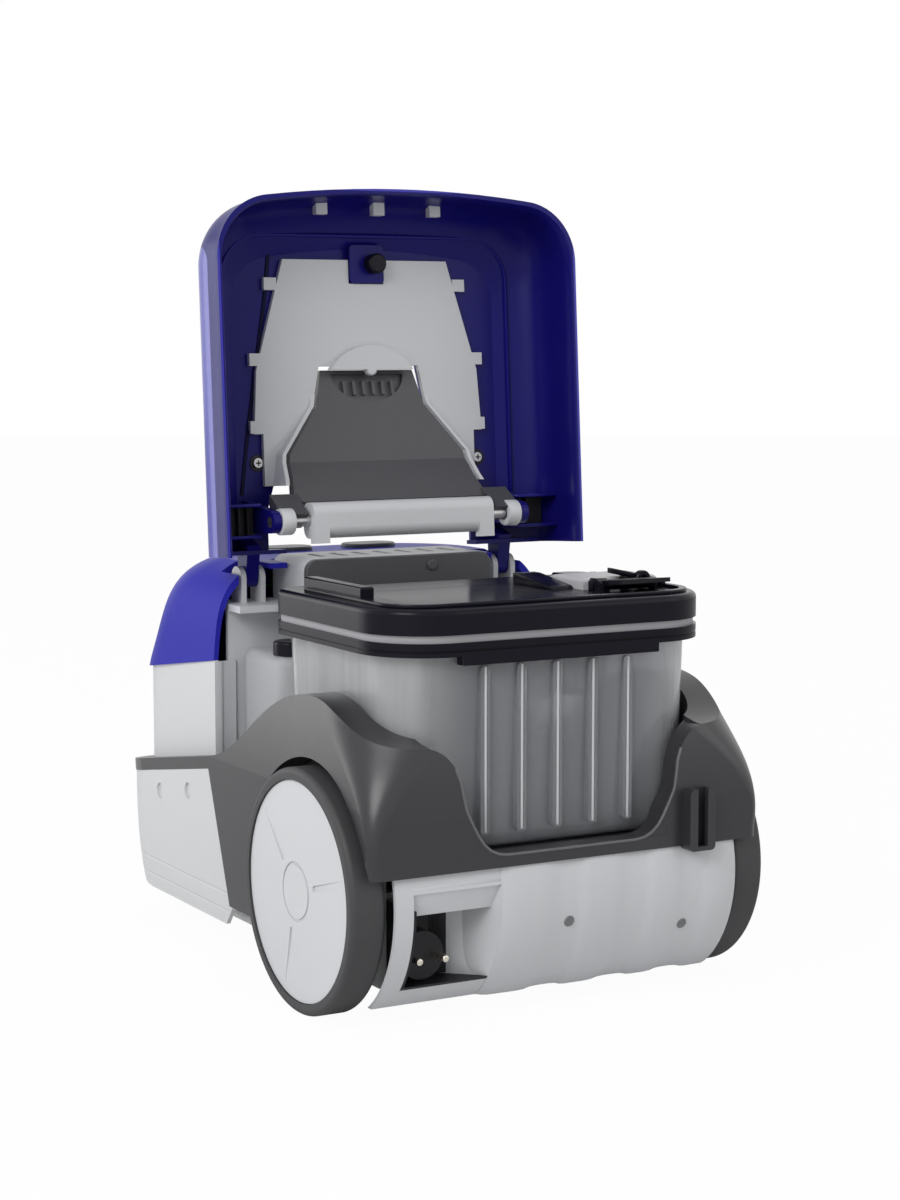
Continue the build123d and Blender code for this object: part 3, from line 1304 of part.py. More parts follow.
with BuildPart() as rotor_shaft:
    add(on_motor_axis(FAN_REAR - 2 * WALL, SHAFT_R, 0, FAN_L + MOTOR_L - WALL))
    add(on_motor_axis(FAN_FRONT - 4 * WALL, MOTOR_R / 2, 0, MOTOR_L - 8 * WALL))
save(rotor_shaft, "rotor_shaft")

FAN_BACK = FAN_FRONT + WALL + FAN_CLEAR
FAN_TIP_R = FAN_R - WALL - FAN_CLEAR
BLADE_H = FAN_REAR - WALL - FAN_CLEAR - FAN_BACK - FAN_CLEAR
with BuildPart() as fan_impeller:
    add(on_motor_axis(FAN_BACK + FAN_CLEAR, FAN_TIP_R, 0, FAN_CLEAR))
    add(on_motor_axis(FAN_BACK + BLADE_H, BEARING_R, 0, BLADE_H))
    with BuildSketch(facing_rear(FAN_BACK + FAN_CLEAR + BLADE_H)):
        with Locations((MOTOR_X, MOTOR_Z)):
            with PolarLocations((FAN_TIP_R + BEARING_R) / 2, FAN_BLADES):
                Rectangle(FAN_TIP_R - BEARING_R, WALL / 2, rotation=35)
            Circle(FAN_TIP_R, mode=Mode.INTERSECT)
    extrude(amount=BLADE_H)
    add(on_motor_axis(FAN_REAR, SHAFT_R, 0, FAN_L), mode=Mode.SUBTRACT)
save(fan_impeller, "fan_impeller")

# Water pump on the base pan's floor, with its inlet and outlet spouts
PUMP_IN = 42.0
PUMP_X = BASE_HW - PUMP_IN
PUMP_SETBACK = 123.0
PUMP_Y = FRONT + PUMP_SETBACK
PUMP_R = 18.0
PUMP_L = 50.0
SPOUT_R = 4.0
PUMP_Z = BASE_Z + WALL + PUMP_R
with BuildPart() as water_pump:
    with BuildSketch(facing_rear(PUMP_Y + PUMP_L / 2)):
        with Locations((PUMP_X, PUMP_Z)):
            Circle(PUMP_R)
        with Locations((PUMP_X, PUMP_Z - PUMP_R / 2)):
            Rectangle(2 * PUMP_R, PUMP_R)
    extrude(amount=PUMP_L)
    with BuildSketch(Plane.XY.offset(PUMP_Z)):
        with Locations((PUMP_X, PUMP_Y)):
            with GridLocations(0, PUMP_L / 2, 1, 2):
                Circle(SPOUT_R)
    extrude(amount=PUMP_R + 4 * SPOUT_R)
save(water_pump, "water_pump")

# Clean-water tank on the deck, with its filler neck and cap at the left
NECK_SIDE_IN = 14.0
NECK_X = CLEAN_LEFT - NECK_SIDE_IN
NECK_REAR_IN = 18.0
NECK_Y = CLEAN_REAR - NECK_REAR_IN
NECK_R = 11.0
NECK_H = 6.0
CAP_H = 10.0
CAP_WALL = 2.0
CLEAN_MID = ((CLEAN_LEFT + CLEAN_RIGHT) / 2, (CLEAN_FRONT + CLEAN_REAR) / 2)
with BuildPart() as clean_tank:
    with BuildSketch(Plane.XY.offset(DECK_TOP)):
        with Locations(CLEAN_MID):
            RectangleRounded(CLEAN_LEFT - CLEAN_RIGHT, CLEAN_REAR - CLEAN_FRONT, CLEAN_CORNER)
    extrude(amount=CLEAN_TOP - DECK_TOP)
    fillet(clean_tank.edges().group_by(Axis.Z)[-1], CLEAN_CORNER / 2)
    with BuildSketch(Plane.XY.offset(CLEAN_TOP - CLEAN_WALL)):
        with Locations((NECK_X, NECK_Y)):
            Circle(NECK_R)
    extrude(amount=CLEAN_WALL + NECK_H)
    with BuildSketch(Plane.XY.offset(DECK_TOP + CLEAN_WALL)):
        with Locations(CLEAN_MID):
            RectangleRounded(
                CLEAN_LEFT - CLEAN_RIGHT - 2 * CLEAN_WALL,
                CLEAN_REAR - CLEAN_FRONT - 2 * CLEAN_WALL,
                CLEAN_CORNER - CLEAN_WALL,
            )
    extrude(amount=CLEAN_TOP - DECK_TOP - CLEAN_CORNER / 2 - CLEAN_WALL, mode=Mode.SUBTRACT)
    with BuildSketch(Plane.XY.offset(DECK_TOP + CLEAN_WALL)):
        with Locations((NECK_X, NECK_Y)):
            Circle(NECK_R - CLEAN_WALL)
    extrude(amount=CLEAN_TOP, mode=Mode.SUBTRACT)
save(clean_tank, "clean_tank")

with BuildPart() as clean_tank_cap:
    with BuildSketch(Plane.XY.offset(CLEAN_TOP)):
        with Locations((NECK_X, NECK_Y)):
            Circle(NECK_R + CAP_WALL)
    extrude(amount=CAP_H)
    fillet(clean_tank_cap.edges().group_by(Axis.Z)[-1], CAP_WALL)
    with BuildSketch(Plane.XY.offset(CLEAN_TOP)):
        with Locations((NECK_X, NECK_Y)):
            Circle(NECK_R + RUN)
    extrude(amount=NECK_H, mode=Mode.SUBTRACT)
save(clean_tank_cap, "clean_tank_cap")

# Dirty-water tank: drafted translucent tub with ribs on its rear wall and two duct holes
TANK_FLOOR_R = 10.0
RIB_Z0 = DECK_TOP + 12.0
RIB_Z1 = TANK_TOP - 8.0


def tank_body(grow, z0, z1):
    """Drafted tub body between two heights, grown all round."""
    return loft(
        sections=[
            tank_outline(Plane.XY.offset(z0), grow - TANK_DRAFT),
            tank_outline(Plane.XY.offset(z1), grow),
        ]
    )


with BuildPart() as dirty_tank:
    add(tank_body(0, DECK_TOP, TANK_TOP))
    fillet(dirty_tank.edges().group_by(Axis.Z)[0], TANK_FLOOR_R)
    with BuildSketch(facing_rear(TANK_REAR - TANK_DRAFT - TANK_WALL)):
        with Locations((0, (RIB_Z0 + RIB_Z1) / 2)):
            with GridLocations(RIB_PITCH, 0, TANK_RIBS, 1):
                RectangleRounded(RIB_W, RIB_Z1 - RIB_Z0, RIB_W / 2 - GAP)
    extrude(amount=-TANK_DRAFT - TANK_WALL - RIB_H)
    add(tank_body(-TANK_WALL, DECK_TOP + TANK_WALL, TANK_TOP), mode=Mode.SUBTRACT)
    with BuildSketch(facing_rear(TANK_FRONT + 2 * TANK_DRAFT)):
        with Locations((DUCT_X, INLET_Z), (DUCT_X, SUCTION_Z)):
            Circle(HOSE_R)
    extrude(amount=4 * TANK_DRAFT, mode=Mode.SUBTRACT)
save(dirty_tank, "dirty_tank")

# Black band round the tank's mouth, seal, and the tank lid
BAND_STEP_HW = 75.0
BAND_STEP = 6.0
BAND_Z1 = TANK_TOP + BAND_H
SEAL_Z1 = BAND_Z1 + SEAL_H
TANK_LID_Z1 = SEAL_Z1 + TANK_LID_H
TANK_LID_T = 4.0
with BuildPart() as tank_band:
    extrude(tank_outline(Plane.XY.offset(TANK_TOP), BAND_OUT), amount=BAND_H)
    with BuildSketch(Plane.XY.offset(TANK_TOP)):
        with Locations((0, TANK_REAR + BAND_OUT / 2)):
            Rectangle(2 * BAND_STEP_HW, BAND_OUT)
    extrude(amount=-BAND_STEP)
    add(tank_body(GAP / 10, DECK_TOP, TANK_TOP), mode=Mode.SUBTRACT)
    extrude(tank_outline(Plane.XY.offset(DECK_TOP), -TANK_WALL), amount=TANK_TOP, mode=Mode.SUBTRACT)
    with BuildSketch(Plane.XY.offset(TANK_TOP + BAND_H / 3)):
        add(tank_outline(Plane.XY, BAND_OUT + GAP))
        add(tank_outline(Plane.XY, BAND_OUT - BAND_GROOVE), mode=Mode.SUBTRACT)
    extrude(amount=BAND_GROOVE, mode=Mode.SUBTRACT)
    with BuildSketch(facing_rear(TANK_REAR)):
        with Locations((0, (RIB_Z0 + RIB_Z1) / 2)):
            with GridLocations(RIB_PITCH, 0, TANK_RIBS, 1):
                Rectangle(RIB_W + GAP, RIB_Z1 - RIB_Z0 + GAP)
    extrude(amount=-RIB_H - GAP, mode=Mode.SUBTRACT)
save(tank_band, "tank_band")

with BuildPart() as tank_seal:
    extrude(tank_outline(Plane.XY.offset(BAND_Z1), BAND_OUT - SEAL_IN), amount=SEAL_H)
    extrude(tank_outline(Plane.XY.offset(BAND_Z1), -TANK_WALL), amount=SEAL_H, mode=Mode.SUBTRACT)
save(tank_seal, "tank_seal")

WINDOW_LEFT_IN = 26.0
WINDOW_HOOD_GAP = 24.0
WINDOW_FRONT_IN = 47.0
WINDOW_REAR_IN = 12.0
WINDOW_X0 = HOOD_X1 + WINDOW_HOOD_GAP
WINDOW_X1 = TANK_HW - WINDOW_LEFT_IN
WINDOW_Y0 = TANK_FRONT + WINDOW_FRONT_IN
WINDOW_Y1 = TANK_REAR - WINDOW_REAR_IN
LATCH_Z = TANK_LID_Z1 + LATCH_RISE
CAGE_Z0 = TANK_LID_Z1 - TANK_LID_T - CAGE_DROP
WINDOW_LIP = 4.0
WINDOW_T = 3.0
WINDOW_MID = ((WINDOW_X0 + WINDOW_X1) / 2, (WINDOW_Y0 + WINDOW_Y1) / 2)
HANDLE_CLEAR = 3.0
RELIEF_HW = HANDLE_EYE_X + HANDLE_EYE_W / 2 + HANDLE_CLEAR
RELIEF_FILL = 62.0


def lid_shut(along, out):
    """Height and depth, with the top lid shut, of a point given along and out of the lid."""
    turn = radians(LID_SLOPE)
    return (
        HINGE_Y + along * cos(turn) - out * sin(turn),
        HINGE_Z + along * sin(turn) + out * cos(turn),
    )


with BuildPart() as tank_lid:
    extrude(tank_outline(Plane.XY.offset(SEAL_Z1), BAND_OUT), amount=TANK_LID_H)
    fillet(tank_lid.edges().group_by(Axis.Z)[-1], TANK_LID_T)
    with BuildSketch(Plane.XY.offset(SEAL_Z1)):
        add(tank_outline(Plane.XY, BAND_OUT - TANK_LID_T))
        with Locations((0, RELIEF_FILL / 2)):
            Rectangle(2 * (RELIEF_HW + TANK_LID_T), RELIEF_FILL, mode=Mode.SUBTRACT)
    extrude(amount=TANK_LID_H - TANK_LID_T, mode=Mode.SUBTRACT)
    with BuildSketch(Plane.YZ):
        near = lid_shut(SHOULDER_S - SHOULDER_HW / 4, SHOULDER_T - HANDLE_CLEAR - SHOULDER_HW / 16)
        far = lid_shut(TIP_S, TIP_T - HANDLE_CLEAR)
        with BuildLine():
            Polyline(near, far, (far[0], 2 * HINGE_Z), (near[0], 2 * HINGE_Z), close=True)
        make_face()
    extrude(amount=RELIEF_HW, both=True, mode=Mode.SUBTRACT)
    with BuildSketch(Plane.XY.offset(TANK_LID_Z1 - WINDOW_T)):
        with Locations(WINDOW_MID):
            RectangleRounded(WINDOW_X1 - WINDOW_X0, WINDOW_Y1 - WINDOW_Y0, 2 * WINDOW_LIP)
    extrude(amount=WINDOW_T, mode=Mode.SUBTRACT)
    with BuildSketch(Plane.XY.offset(SEAL_Z1)):
        with Locations(WINDOW_MID):
            RectangleRounded(
                WINDOW_X1 - WINDOW_X0 - 2 * WINDOW_LIP, WINDOW_Y1 - WINDOW_Y0 - 2 * WINDOW_LIP, WINDOW_LIP
            )
    extrude(amount=TANK_LID_H, mode=Mode.SUBTRACT)
    for side, _ in SIDES:
        with BuildSketch(Plane.YZ.offset(LATCH_X + side * (LATCH_W / 2 + GAP))):
            with Locations((LATCH_Y, LATCH_Z)):
                Circle(LATCH_LUG_R)
            with Locations((LATCH_Y, (LATCH_Z + TANK_LID_Z1) / 2)):
                Rectangle(2 * LATCH_LUG_R, LATCH_Z - TANK_LID_Z1)
        extrude(amount=side * WALL)
    with BuildSketch(Plane.YZ.offset(LATCH_X - LATCH_W / 2 - GAP)):
        with Locations((LATCH_Y, LATCH_Z)):
            Circle(LATCH_PIN_R)
    extrude(amount=LATCH_W + 2 * GAP)
save(tank_lid, "tank_lid")

with BuildPart() as tank_window:
    with BuildSketch(Plane.XY.offset(TANK_LID_Z1 - WINDOW_T)):
        with Locations(WINDOW_MID):
            RectangleRounded(WINDOW_X1 - WINDOW_X0, WINDOW_Y1 - WINDOW_Y0, 2 * WINDOW_LIP)
    extrude(amount=WINDOW_T)
save(tank_window, "tank_window")

# Fittings on the tank lid: sloped hood, grip bar and the swinging latch flap
with BuildPart() as inlet_hood:
    with BuildSketch(Plane.YZ.offset(HOOD_X0)):
        with BuildLine():
            Polyline(
                (HOOD_Y0, TANK_LID_Z1),
                (HOOD_Y0 + HOOD_SLOPE, TANK_LID_Z1 + HOOD_H),
                (HOOD_Y1, TANK_LID_Z1 + HOOD_H),
                (HOOD_Y1, TANK_LID_Z1),
                close=True,
            )
        make_face()
    extrude(amount=HOOD_X1 - HOOD_X0)
    fillet(inlet_hood.edges().group_by(Axis.Z)[-1], WALL)
    with BuildSketch(Plane.XY.offset(TANK_LID_Z1)):
        with Locations(((HOOD_X0 + HOOD_X1) / 2, (HOOD_Y0 + HOOD_SLOPE + HOOD_Y1) / 2)):
            Rectangle(HOOD_X1 - HOOD_X0 - 2 * WALL, HOOD_Y1 - HOOD_Y0 - HOOD_SLOPE - 2 * WALL)
    extrude(amount=HOOD_H - WALL, mode=Mode.SUBTRACT)
save(inlet_hood, "inlet_hood")

with BuildPart() as tank_grip:
    with BuildSketch(Plane.YZ.offset(GRIP_X - GRIP_W / 2)):
        with Locations(((GRIP_Y0 + GRIP_Y1) / 2, TANK_LID_Z1 + GRIP_H / 2)):
            Rectangle(GRIP_Y1 - GRIP_Y0, GRIP_H)
    extrude(amount=GRIP_W)
    fillet(tank_grip.edges().group_by(Axis.Z)[-1], GRIP_EDGE)
save(tank_grip, "tank_grip")

with BuildPart() as tank_latch:
    with BuildSketch(Plane.YZ.offset(LATCH_X - LATCH_W / 2)):
        with Locations((LATCH_Y, LATCH_Z)):
            Circle(LATCH_LUG_R)
        with BuildLine():
            lift = radians(LATCH_REST)
            run = (LATCH_L * cos(lift), LATCH_L * sin(lift))
            across = (-LATCH_T * sin(lift), LATCH_T * cos(lift))
            Polyline(
                (LATCH_Y, LATCH_Z),
                (LATCH_Y + run[0], LATCH_Z + run[1]),
                (LATCH_Y + run[0] + across[0], LATCH_Z + run[1] + across[1]),
                (LATCH_Y + across[0], LATCH_Z + across[1]),
                close=True,
            )
        make_face()
    extrude(amount=LATCH_W)
    with BuildSketch(Plane.YZ.offset(LATCH_X - LATCH_W / 2)):
        with Locations((LATCH_Y, LATCH_Z)):
            Circle(LATCH_PIN_R + RUN)
    extrude(amount=LATCH_W, mode=Mode.SUBTRACT)
save(tank_latch, "tank_latch")

# Float valve hanging from the tank lid: slotted cage with a ball inside
with BuildPart() as float_cage:
    with BuildSketch(Plane.XY.offset(CAGE_Z0)):
        with Locations((CAGE_X, CAGE_Y)):
            Circle(CAGE_R)
    extrude(amount=TANK_LID_Z1 - TANK_LID_T - CAGE_Z0)
    with BuildSketch(Plane.XY.offset(CAGE_Z0 + CAGE_WALL)):
        with Locations((CAGE_X, CAGE_Y)):
            Circle(CAGE_R - CAGE_WALL)
    extrude(amount=TANK_LID_Z1 - CAGE_Z0, mode=Mode.SUBTRACT)
    with BuildSketch(Plane.XY.offset(CAGE_Z0 + 2 * CAGE_WALL)):
        with Locations((CAGE_X, CAGE_Y)):
            with PolarLocations(CAGE_R, CAGE_SLOTS):
                Rectangle(2 * CAGE_R / 3, CAGE_R / 2)
    extrude(amount=SEAL_Z1 - CAGE_Z0 - 4 * CAGE_WALL, mode=Mode.SUBTRACT)
save(float_cage, "float_cage")

with BuildPart() as float_ball:
    with Locations((CAGE_X, CAGE_Y, CAGE_Z0 + CAGE_WALL + BALL_R)):
        Sphere(BALL_R)
save(float_ball, "float_ball")


# Top lid: crowned blue shell with hinge arms and handle brackets in one moulding
def lid_sections(inset, start):
    """Outlines of the lid from its rim to its plate, drawn in by inset."""
    return [
        lid_outline(
            t - inset * (t - LID_RIM) / (LID_TOP - LID_RIM),
            w - inset,
            start,
            end - inset,
            corner - inset / 2,
        )
        for t, w, end, corner in LID_SECTIONS
    ]


with BuildPart() as lid_block:
    loft(sections=lid_sections(0, LID_START))

with BuildPart() as lid_hollow:
    loft(sections=lid_sections(LID_T, LID_START - LID_T))

PLATE_IN = LID_TOP - LID_T
with BuildPart() as lid_ears:
    add(lid_block.part)
    with BuildSketch(LID.offset(EAR_T)):
        with Locations((0, LID_START + LID_T / 2)):
            Rectangle(2 * LID_HW, LID_T)
            Rectangle(2 * COWL_NOTCH_HW, LID_T, mode=Mode.SUBTRACT)
    extrude(amount=LID_TOP - EAR_T, mode=Mode.INTERSECT)


LINER_IN = PLATE_IN - LINER_T
HANDLE_EDGE = (
    (PLATE_HW, PLATE_S - HANDLE_T),
    (SHOULDER_HW + HANDLE_T / 2, SHOULDER_S - 2 * HANDLE_T),
    (SHOULDER_HW, SHOULDER_S + HANDLE_T),
    (TIP_HW + HANDLE_T, GRIP_S),
    (TIP_HW, TIP_S),
)


def handle_outline(t, grow, start):
    """Carry handle seen square on to the lid, grown all round and drawn out to start at the hinge."""
    with BuildSketch(LID.offset(t)) as outline:
        with BuildLine():
            edge = [(HANDLE_EDGE[0][0] + grow, start)]
            edge += [(x + grow, along) for x, along in HANDLE_EDGE[:-1]]
            edge += [(TIP_HW + grow, TIP_S + grow)]
            Polyline(*edge, *[(-x, along) for x, along in reversed(edge)], close=True)
        make_face()
    return outline.sketch


with BuildPart() as lid_shell:
    add(lid_block.part)
    add(lid_hollow.part, mode=Mode.SUBTRACT)
    add(lid_ears.part)
    for side, _ in SIDES:
        with BuildSketch(LID_SIDE.offset(side * (ARM_X - side * ARM_W / 2))):
            Circle(ARM_EYE_R)
            with BuildLine():
                Polyline(
                    (0, -ARM_EYE_R),
                    (LID_START + ARM_EYE_R, EAR_T),
                    (LID_START + 2 * ARM_EYE_R, PLATE_IN + GAP),
                    (LID_START, PLATE_IN + GAP),
                    (0, ARM_EYE_R),
                    close=True,
                )
            make_face()
        extrude(amount=ARM_W)
        with BuildSketch(LID_SIDE.offset(side * BRACKET_X - BRACKET_T / 2)):
            with BuildLine():
                Polyline(
                    (PIVOT_S - BRACKET_R, PIVOT_T),
                    (PIVOT_S - BRACKET_R, PLATE_IN + GAP),
                    (PIVOT_S + 2 * BRACKET_R, PLATE_IN + GAP),
                    (PIVOT_S + BRACKET_R, PIVOT_T),
                    close=True,
                )
            make_face()
            with Locations((PIVOT_S, PIVOT_T)):
                Circle(BRACKET_R)
                Circle(HANDLE_ROD_R, mode=Mode.SUBTRACT)
        extrude(amount=BRACKET_T)
    with BuildSketch(LID_SIDE.offset(-OVERALL_W / 2)):
        Circle(HINGE_PIN_R + RUN)
    extrude(amount=OVERALL_W, mode=Mode.SUBTRACT)
    with BuildSketch(LID.offset(BOSS_T)):
        with Locations((0, BOSS_S)):
            RectangleRounded(BOSS_W, BOSS_W, WALL)
    extrude(amount=PLATE_IN + GAP - BOSS_T)
    opening = handle_outline(LINER_IN, HANDLE_CLEAR, LID_START - LID_T)
    extrude(opening, amount=2 * LID_TOP, mode=Mode.SUBTRACT)
save(lid_shell, "lid_shell")

# Light liner inside the lid: plate with three snap tabs a side, and a collar round the handle
LINER_FOOT = PLATE_S + 2 * HANDLE_T
COLLAR_END = SHOULDER_S + (LINER_IN - SHOULDER_T) * (TIP_S - SHOULDER_S) / (TIP_T - SHOULDER_T)
with BuildPart() as lid_liner:
    collar = handle_outline(PLATE_T, HANDLE_CLEAR + LINER_WALL, LID_START)
    extrude(collar, amount=LINER_IN - PLATE_T)
    with BuildSketch(LID_SIDE):
        with BuildLine():
            Polyline(
                (LINER_FOOT, SHOULDER_T - (SHOULDER_S - LINER_FOOT) * tan(ARM_LEAN)),
                (SHOULDER_S, SHOULDER_T),
                (COLLAR_END, LINER_IN),
                (LINER_FOOT, LINER_IN),
                close=True,
            )
        make_face()
    extrude(amount=HANDLE_EYE_X, both=True, mode=Mode.INTERSECT)
    with BuildSketch(LID.offset(LINER_IN)):
        with BuildLine():
            edge = [
                (PLATE_HW + HANDLE_CLEAR + LINER_WALL, LINER_FOOT),
                (PLATE_HW + HANDLE_CLEAR + LINER_WALL, LINER_S0),
                (LINER_HW0, LINER_S0),
                (LINER_HW1, LINER_S1),
                (LINER_HW2, LINER_S2),
            ]
            Polyline(*edge, *[(-x, along) for x, along in reversed(edge)], close=True)
        make_face()
        for x, along in LINER_TABS:
            with Locations((x, along), (-x, along)):
                Rectangle(TAB_L, TAB_W)
        with Locations((0, BOSS_S + BOSS_W / 2)):
            Rectangle(BOSS_W + 2 * GAP, 2 * BOSS_W + 2 * GAP, mode=Mode.SUBTRACT)
    extrude(amount=LINER_T)
    opening = handle_outline(PLATE_T, HANDLE_CLEAR, LID_START)
    extrude(opening, amount=LID_TOP - PLATE_T, mode=Mode.SUBTRACT)
save(lid_liner, "lid_liner")

with BuildPart() as liner_screws:
    with BuildSketch(LID.offset(PLATE_IN)):
        with Locations((LINER_SCREW_X, LINER_SCREW_S), (-LINER_SCREW_X, LINER_SCREW_S)):
            Circle(SCREW_HEAD_R)
    extrude(amount=-SCREW_HEAD_T)
    fillet(liner_screws.edges().filter_by(GeomType.CIRCLE).group_by(Axis.Y)[-1], SCREW_HEAD_T / 3)
save(liner_screws, "liner_screws")

with BuildPart() as lid_buffer:
    with BuildSketch(LID.offset(BOSS_T)):
        with Locations((BUFFER_X, BOSS_S)):
            Circle(BUFFER_R)
    extrude(amount=-BUFFER_H)
    fillet(lid_buffer.edges().group_by(Axis.Y)[-1], BUFFER_R / 4)
save(lid_buffer, "lid_buffer")

with BuildPart() as lid_clips:
    add(lid_hollow.part)
    with BuildSketch(LID.offset(CLIP_T)):
        with Locations((0, LID_END - CLIP_L / 2)):
            with GridLocations(CLIP_PITCH, 0, 3, 1):
                Rectangle(CLIP_W, 2 * CLIP_L)
    extrude(amount=CLIP_H, mode=Mode.INTERSECT)
save(lid_clips, "lid_clips")

# Carry handle: bent plate with two eyes on the rod and a ribbed finger grip
GRIP_TILT = TILT + atan2(TIP_T - SHOULDER_T, TIP_S - SHOULDER_S)
GRIP_PLANE = Plane(
    origin=LID.from_local_coords((0, TIP_S, TIP_T)),
    x_dir=(1, 0, 0),
    z_dir=(0, -sin(GRIP_TILT), cos(GRIP_TILT)),
)
with BuildPart() as carry_handle:
    with BuildSketch(LID_SIDE):
        with BuildLine():
            Polyline(
                (PLATE_S, PLATE_T),
                (SHOULDER_S, SHOULDER_T),
                (TIP_S, TIP_T),
                (TIP_S, TIP_T + HANDLE_T),
                (SHOULDER_S - HANDLE_T / 3, SHOULDER_T + HANDLE_T),
                (PLATE_S - HANDLE_T / 2, PLATE_T + HANDLE_T),
                close=True,
            )
        make_face()
    extrude(amount=HANDLE_EYE_X, both=True)
    face = handle_outline(2 * PIVOT_T, 0, PLATE_S - 2 * HANDLE_T)
    extrude(face, amount=-4 * PIVOT_T, mode=Mode.INTERSECT)
    for side, _ in SIDES:
        with BuildSketch(LID_SIDE.offset(side * HANDLE_EYE_X - HANDLE_EYE_W / 2)):
            with Locations((PIVOT_S, PIVOT_T)):
                Circle(HANDLE_EYE_R)
        extrude(amount=HANDLE_EYE_W)
        with BuildSketch(LID_SIDE.offset(side * (HANDLE_EYE_X + HANDLE_EYE_W / 2))):
            with BuildLine():
                Polyline(
                    (PIVOT_S + HANDLE_EYE_R * sin(ARM_LEAN), PIVOT_T - HANDLE_EYE_R * cos(ARM_LEAN)),
                    (PLATE_S + HANDLE_T, PLATE_T + HANDLE_T * tan(ARM_LEAN)),
                    (PLATE_S, PLATE_T + HANDLE_T),
                    (PIVOT_S - HANDLE_EYE_R * sin(ARM_LEAN), PIVOT_T + HANDLE_EYE_R * cos(ARM_LEAN)),
                    close=True,
                )
            make_face()
        extrude(amount=side * (PLATE_HW - HANDLE_T - HANDLE_EYE_X - HANDLE_EYE_W / 2))
    with BuildSketch(LID_SIDE.offset(-BEAM_HW - HANDLE_CLEAR)):
        with Locations((PIVOT_S, PIVOT_T)):
            Circle(BAR_REACH + HANDLE_CLEAR)
    extrude(amount=2 * (BEAM_HW + HANDLE_CLEAR), mode=Mode.SUBTRACT)
    with BuildSketch(LID_SIDE.offset(-OVERALL_W / 2)):
        with Locations((PIVOT_S, PIVOT_T)):
            Circle(HANDLE_ROD_R + RUN)
    extrude(amount=OVERALL_W, mode=Mode.SUBTRACT)
    with BuildSketch(GRIP_PLANE):
        with Locations((0, -GRIP_RECESS_TOP)):
            Ellipse(GRIP_RECESS_HW, GRIP_RECESS_H)
        with Locations((0, GRIP_RECESS_H / 2 - GRIP_RECESS_TOP)):
            Rectangle(2 * GRIP_RECESS_HW, GRIP_RECESS_H, mode=Mode.SUBTRACT)
        with Locations((0, -GRIP_RECESS_TOP - GRIP_RECESS_H / 2)):
            with GridLocations(GRIP_RIB_PITCH, 0, GRIP_RIBS, 1):
                Rectangle(GRIP_RIB_W, GRIP_RECESS_H / 2, mode=Mode.SUBTRACT)
    extrude(amount=HANDLE_T / 2, mode=Mode.SUBTRACT)
save(carry_handle, "carry_handle")

# Light cross bar on the handle rod, with two feet, and the latch dome over the handle's tip
with BuildPart() as handle_beam:
    with BuildSketch(LID_SIDE.offset(-BEAM_HW)):
        with Locations((PIVOT_S, PIVOT_T)):
            RectangleRounded(BAR_W, BAR_T, BAR_R)
    extrude(amount=2 * BEAM_HW)
    for side, _ in SIDES:
        with BuildSketch(LID_SIDE.offset(side * BEAM_HW)):
            with Locations(((PIVOT_S + BEAM_FOOT_S) / 2, PIVOT_T - BAR_T / 2 + BEAM_FOOT_T / 2)):
                Rectangle(PIVOT_S - BEAM_FOOT_S, BEAM_FOOT_T)
        extrude(amount=-side * BEAM_FOOT_W)
    with BuildSketch(LID_SIDE.offset(-BEAM_HW)):
        with Locations((PIVOT_S, PIVOT_T)):
            Circle(HANDLE_ROD_R)
    extrude(amount=2 * BEAM_HW, mode=Mode.SUBTRACT)
save(handle_beam, "handle_beam")

with BuildPart() as handle_rod:
    with BuildSketch(LID_SIDE.offset(-BRACKET_X - BRACKET_T / 2)):
        with Locations((PIVOT_S, PIVOT_T)):
            Circle(HANDLE_ROD_R)
    extrude(amount=2 * BRACKET_X + BRACKET_T)
save(handle_rod, "handle_rod")

with BuildPart() as handle_catch:
    with BuildSketch(LID.offset(LINER_IN)):
        with Locations((0, CATCH_TOP - CATCH_R)):
            Circle(CATCH_R)
        with Locations((0, TIP_S - CATCH_R)):
            Rectangle(2 * CATCH_R, 2 * CATCH_R, mode=Mode.SUBTRACT)
        with Locations((0, TIP_S)):
            Circle(CATCH_NUB_R)
    extrude(amount=-CATCH_T)
    fillet(handle_catch.edges().group_by(Axis.Y)[-1], CATCH_T / 3)
save(handle_catch, "handle_catch")
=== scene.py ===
import math

import bmesh
import bpy
from mathutils import Matrix, Vector


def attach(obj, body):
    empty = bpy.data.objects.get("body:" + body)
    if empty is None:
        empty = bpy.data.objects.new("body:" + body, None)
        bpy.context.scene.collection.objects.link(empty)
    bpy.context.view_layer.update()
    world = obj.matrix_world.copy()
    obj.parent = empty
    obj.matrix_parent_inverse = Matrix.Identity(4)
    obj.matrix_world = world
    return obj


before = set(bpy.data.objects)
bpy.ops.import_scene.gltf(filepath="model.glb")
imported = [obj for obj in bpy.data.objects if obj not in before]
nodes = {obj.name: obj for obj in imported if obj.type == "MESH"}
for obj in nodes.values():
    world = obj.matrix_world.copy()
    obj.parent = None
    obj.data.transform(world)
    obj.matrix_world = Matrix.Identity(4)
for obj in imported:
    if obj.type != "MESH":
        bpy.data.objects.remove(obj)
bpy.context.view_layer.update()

scene = bpy.context.scene
scene.view_settings.view_transform = "Standard"

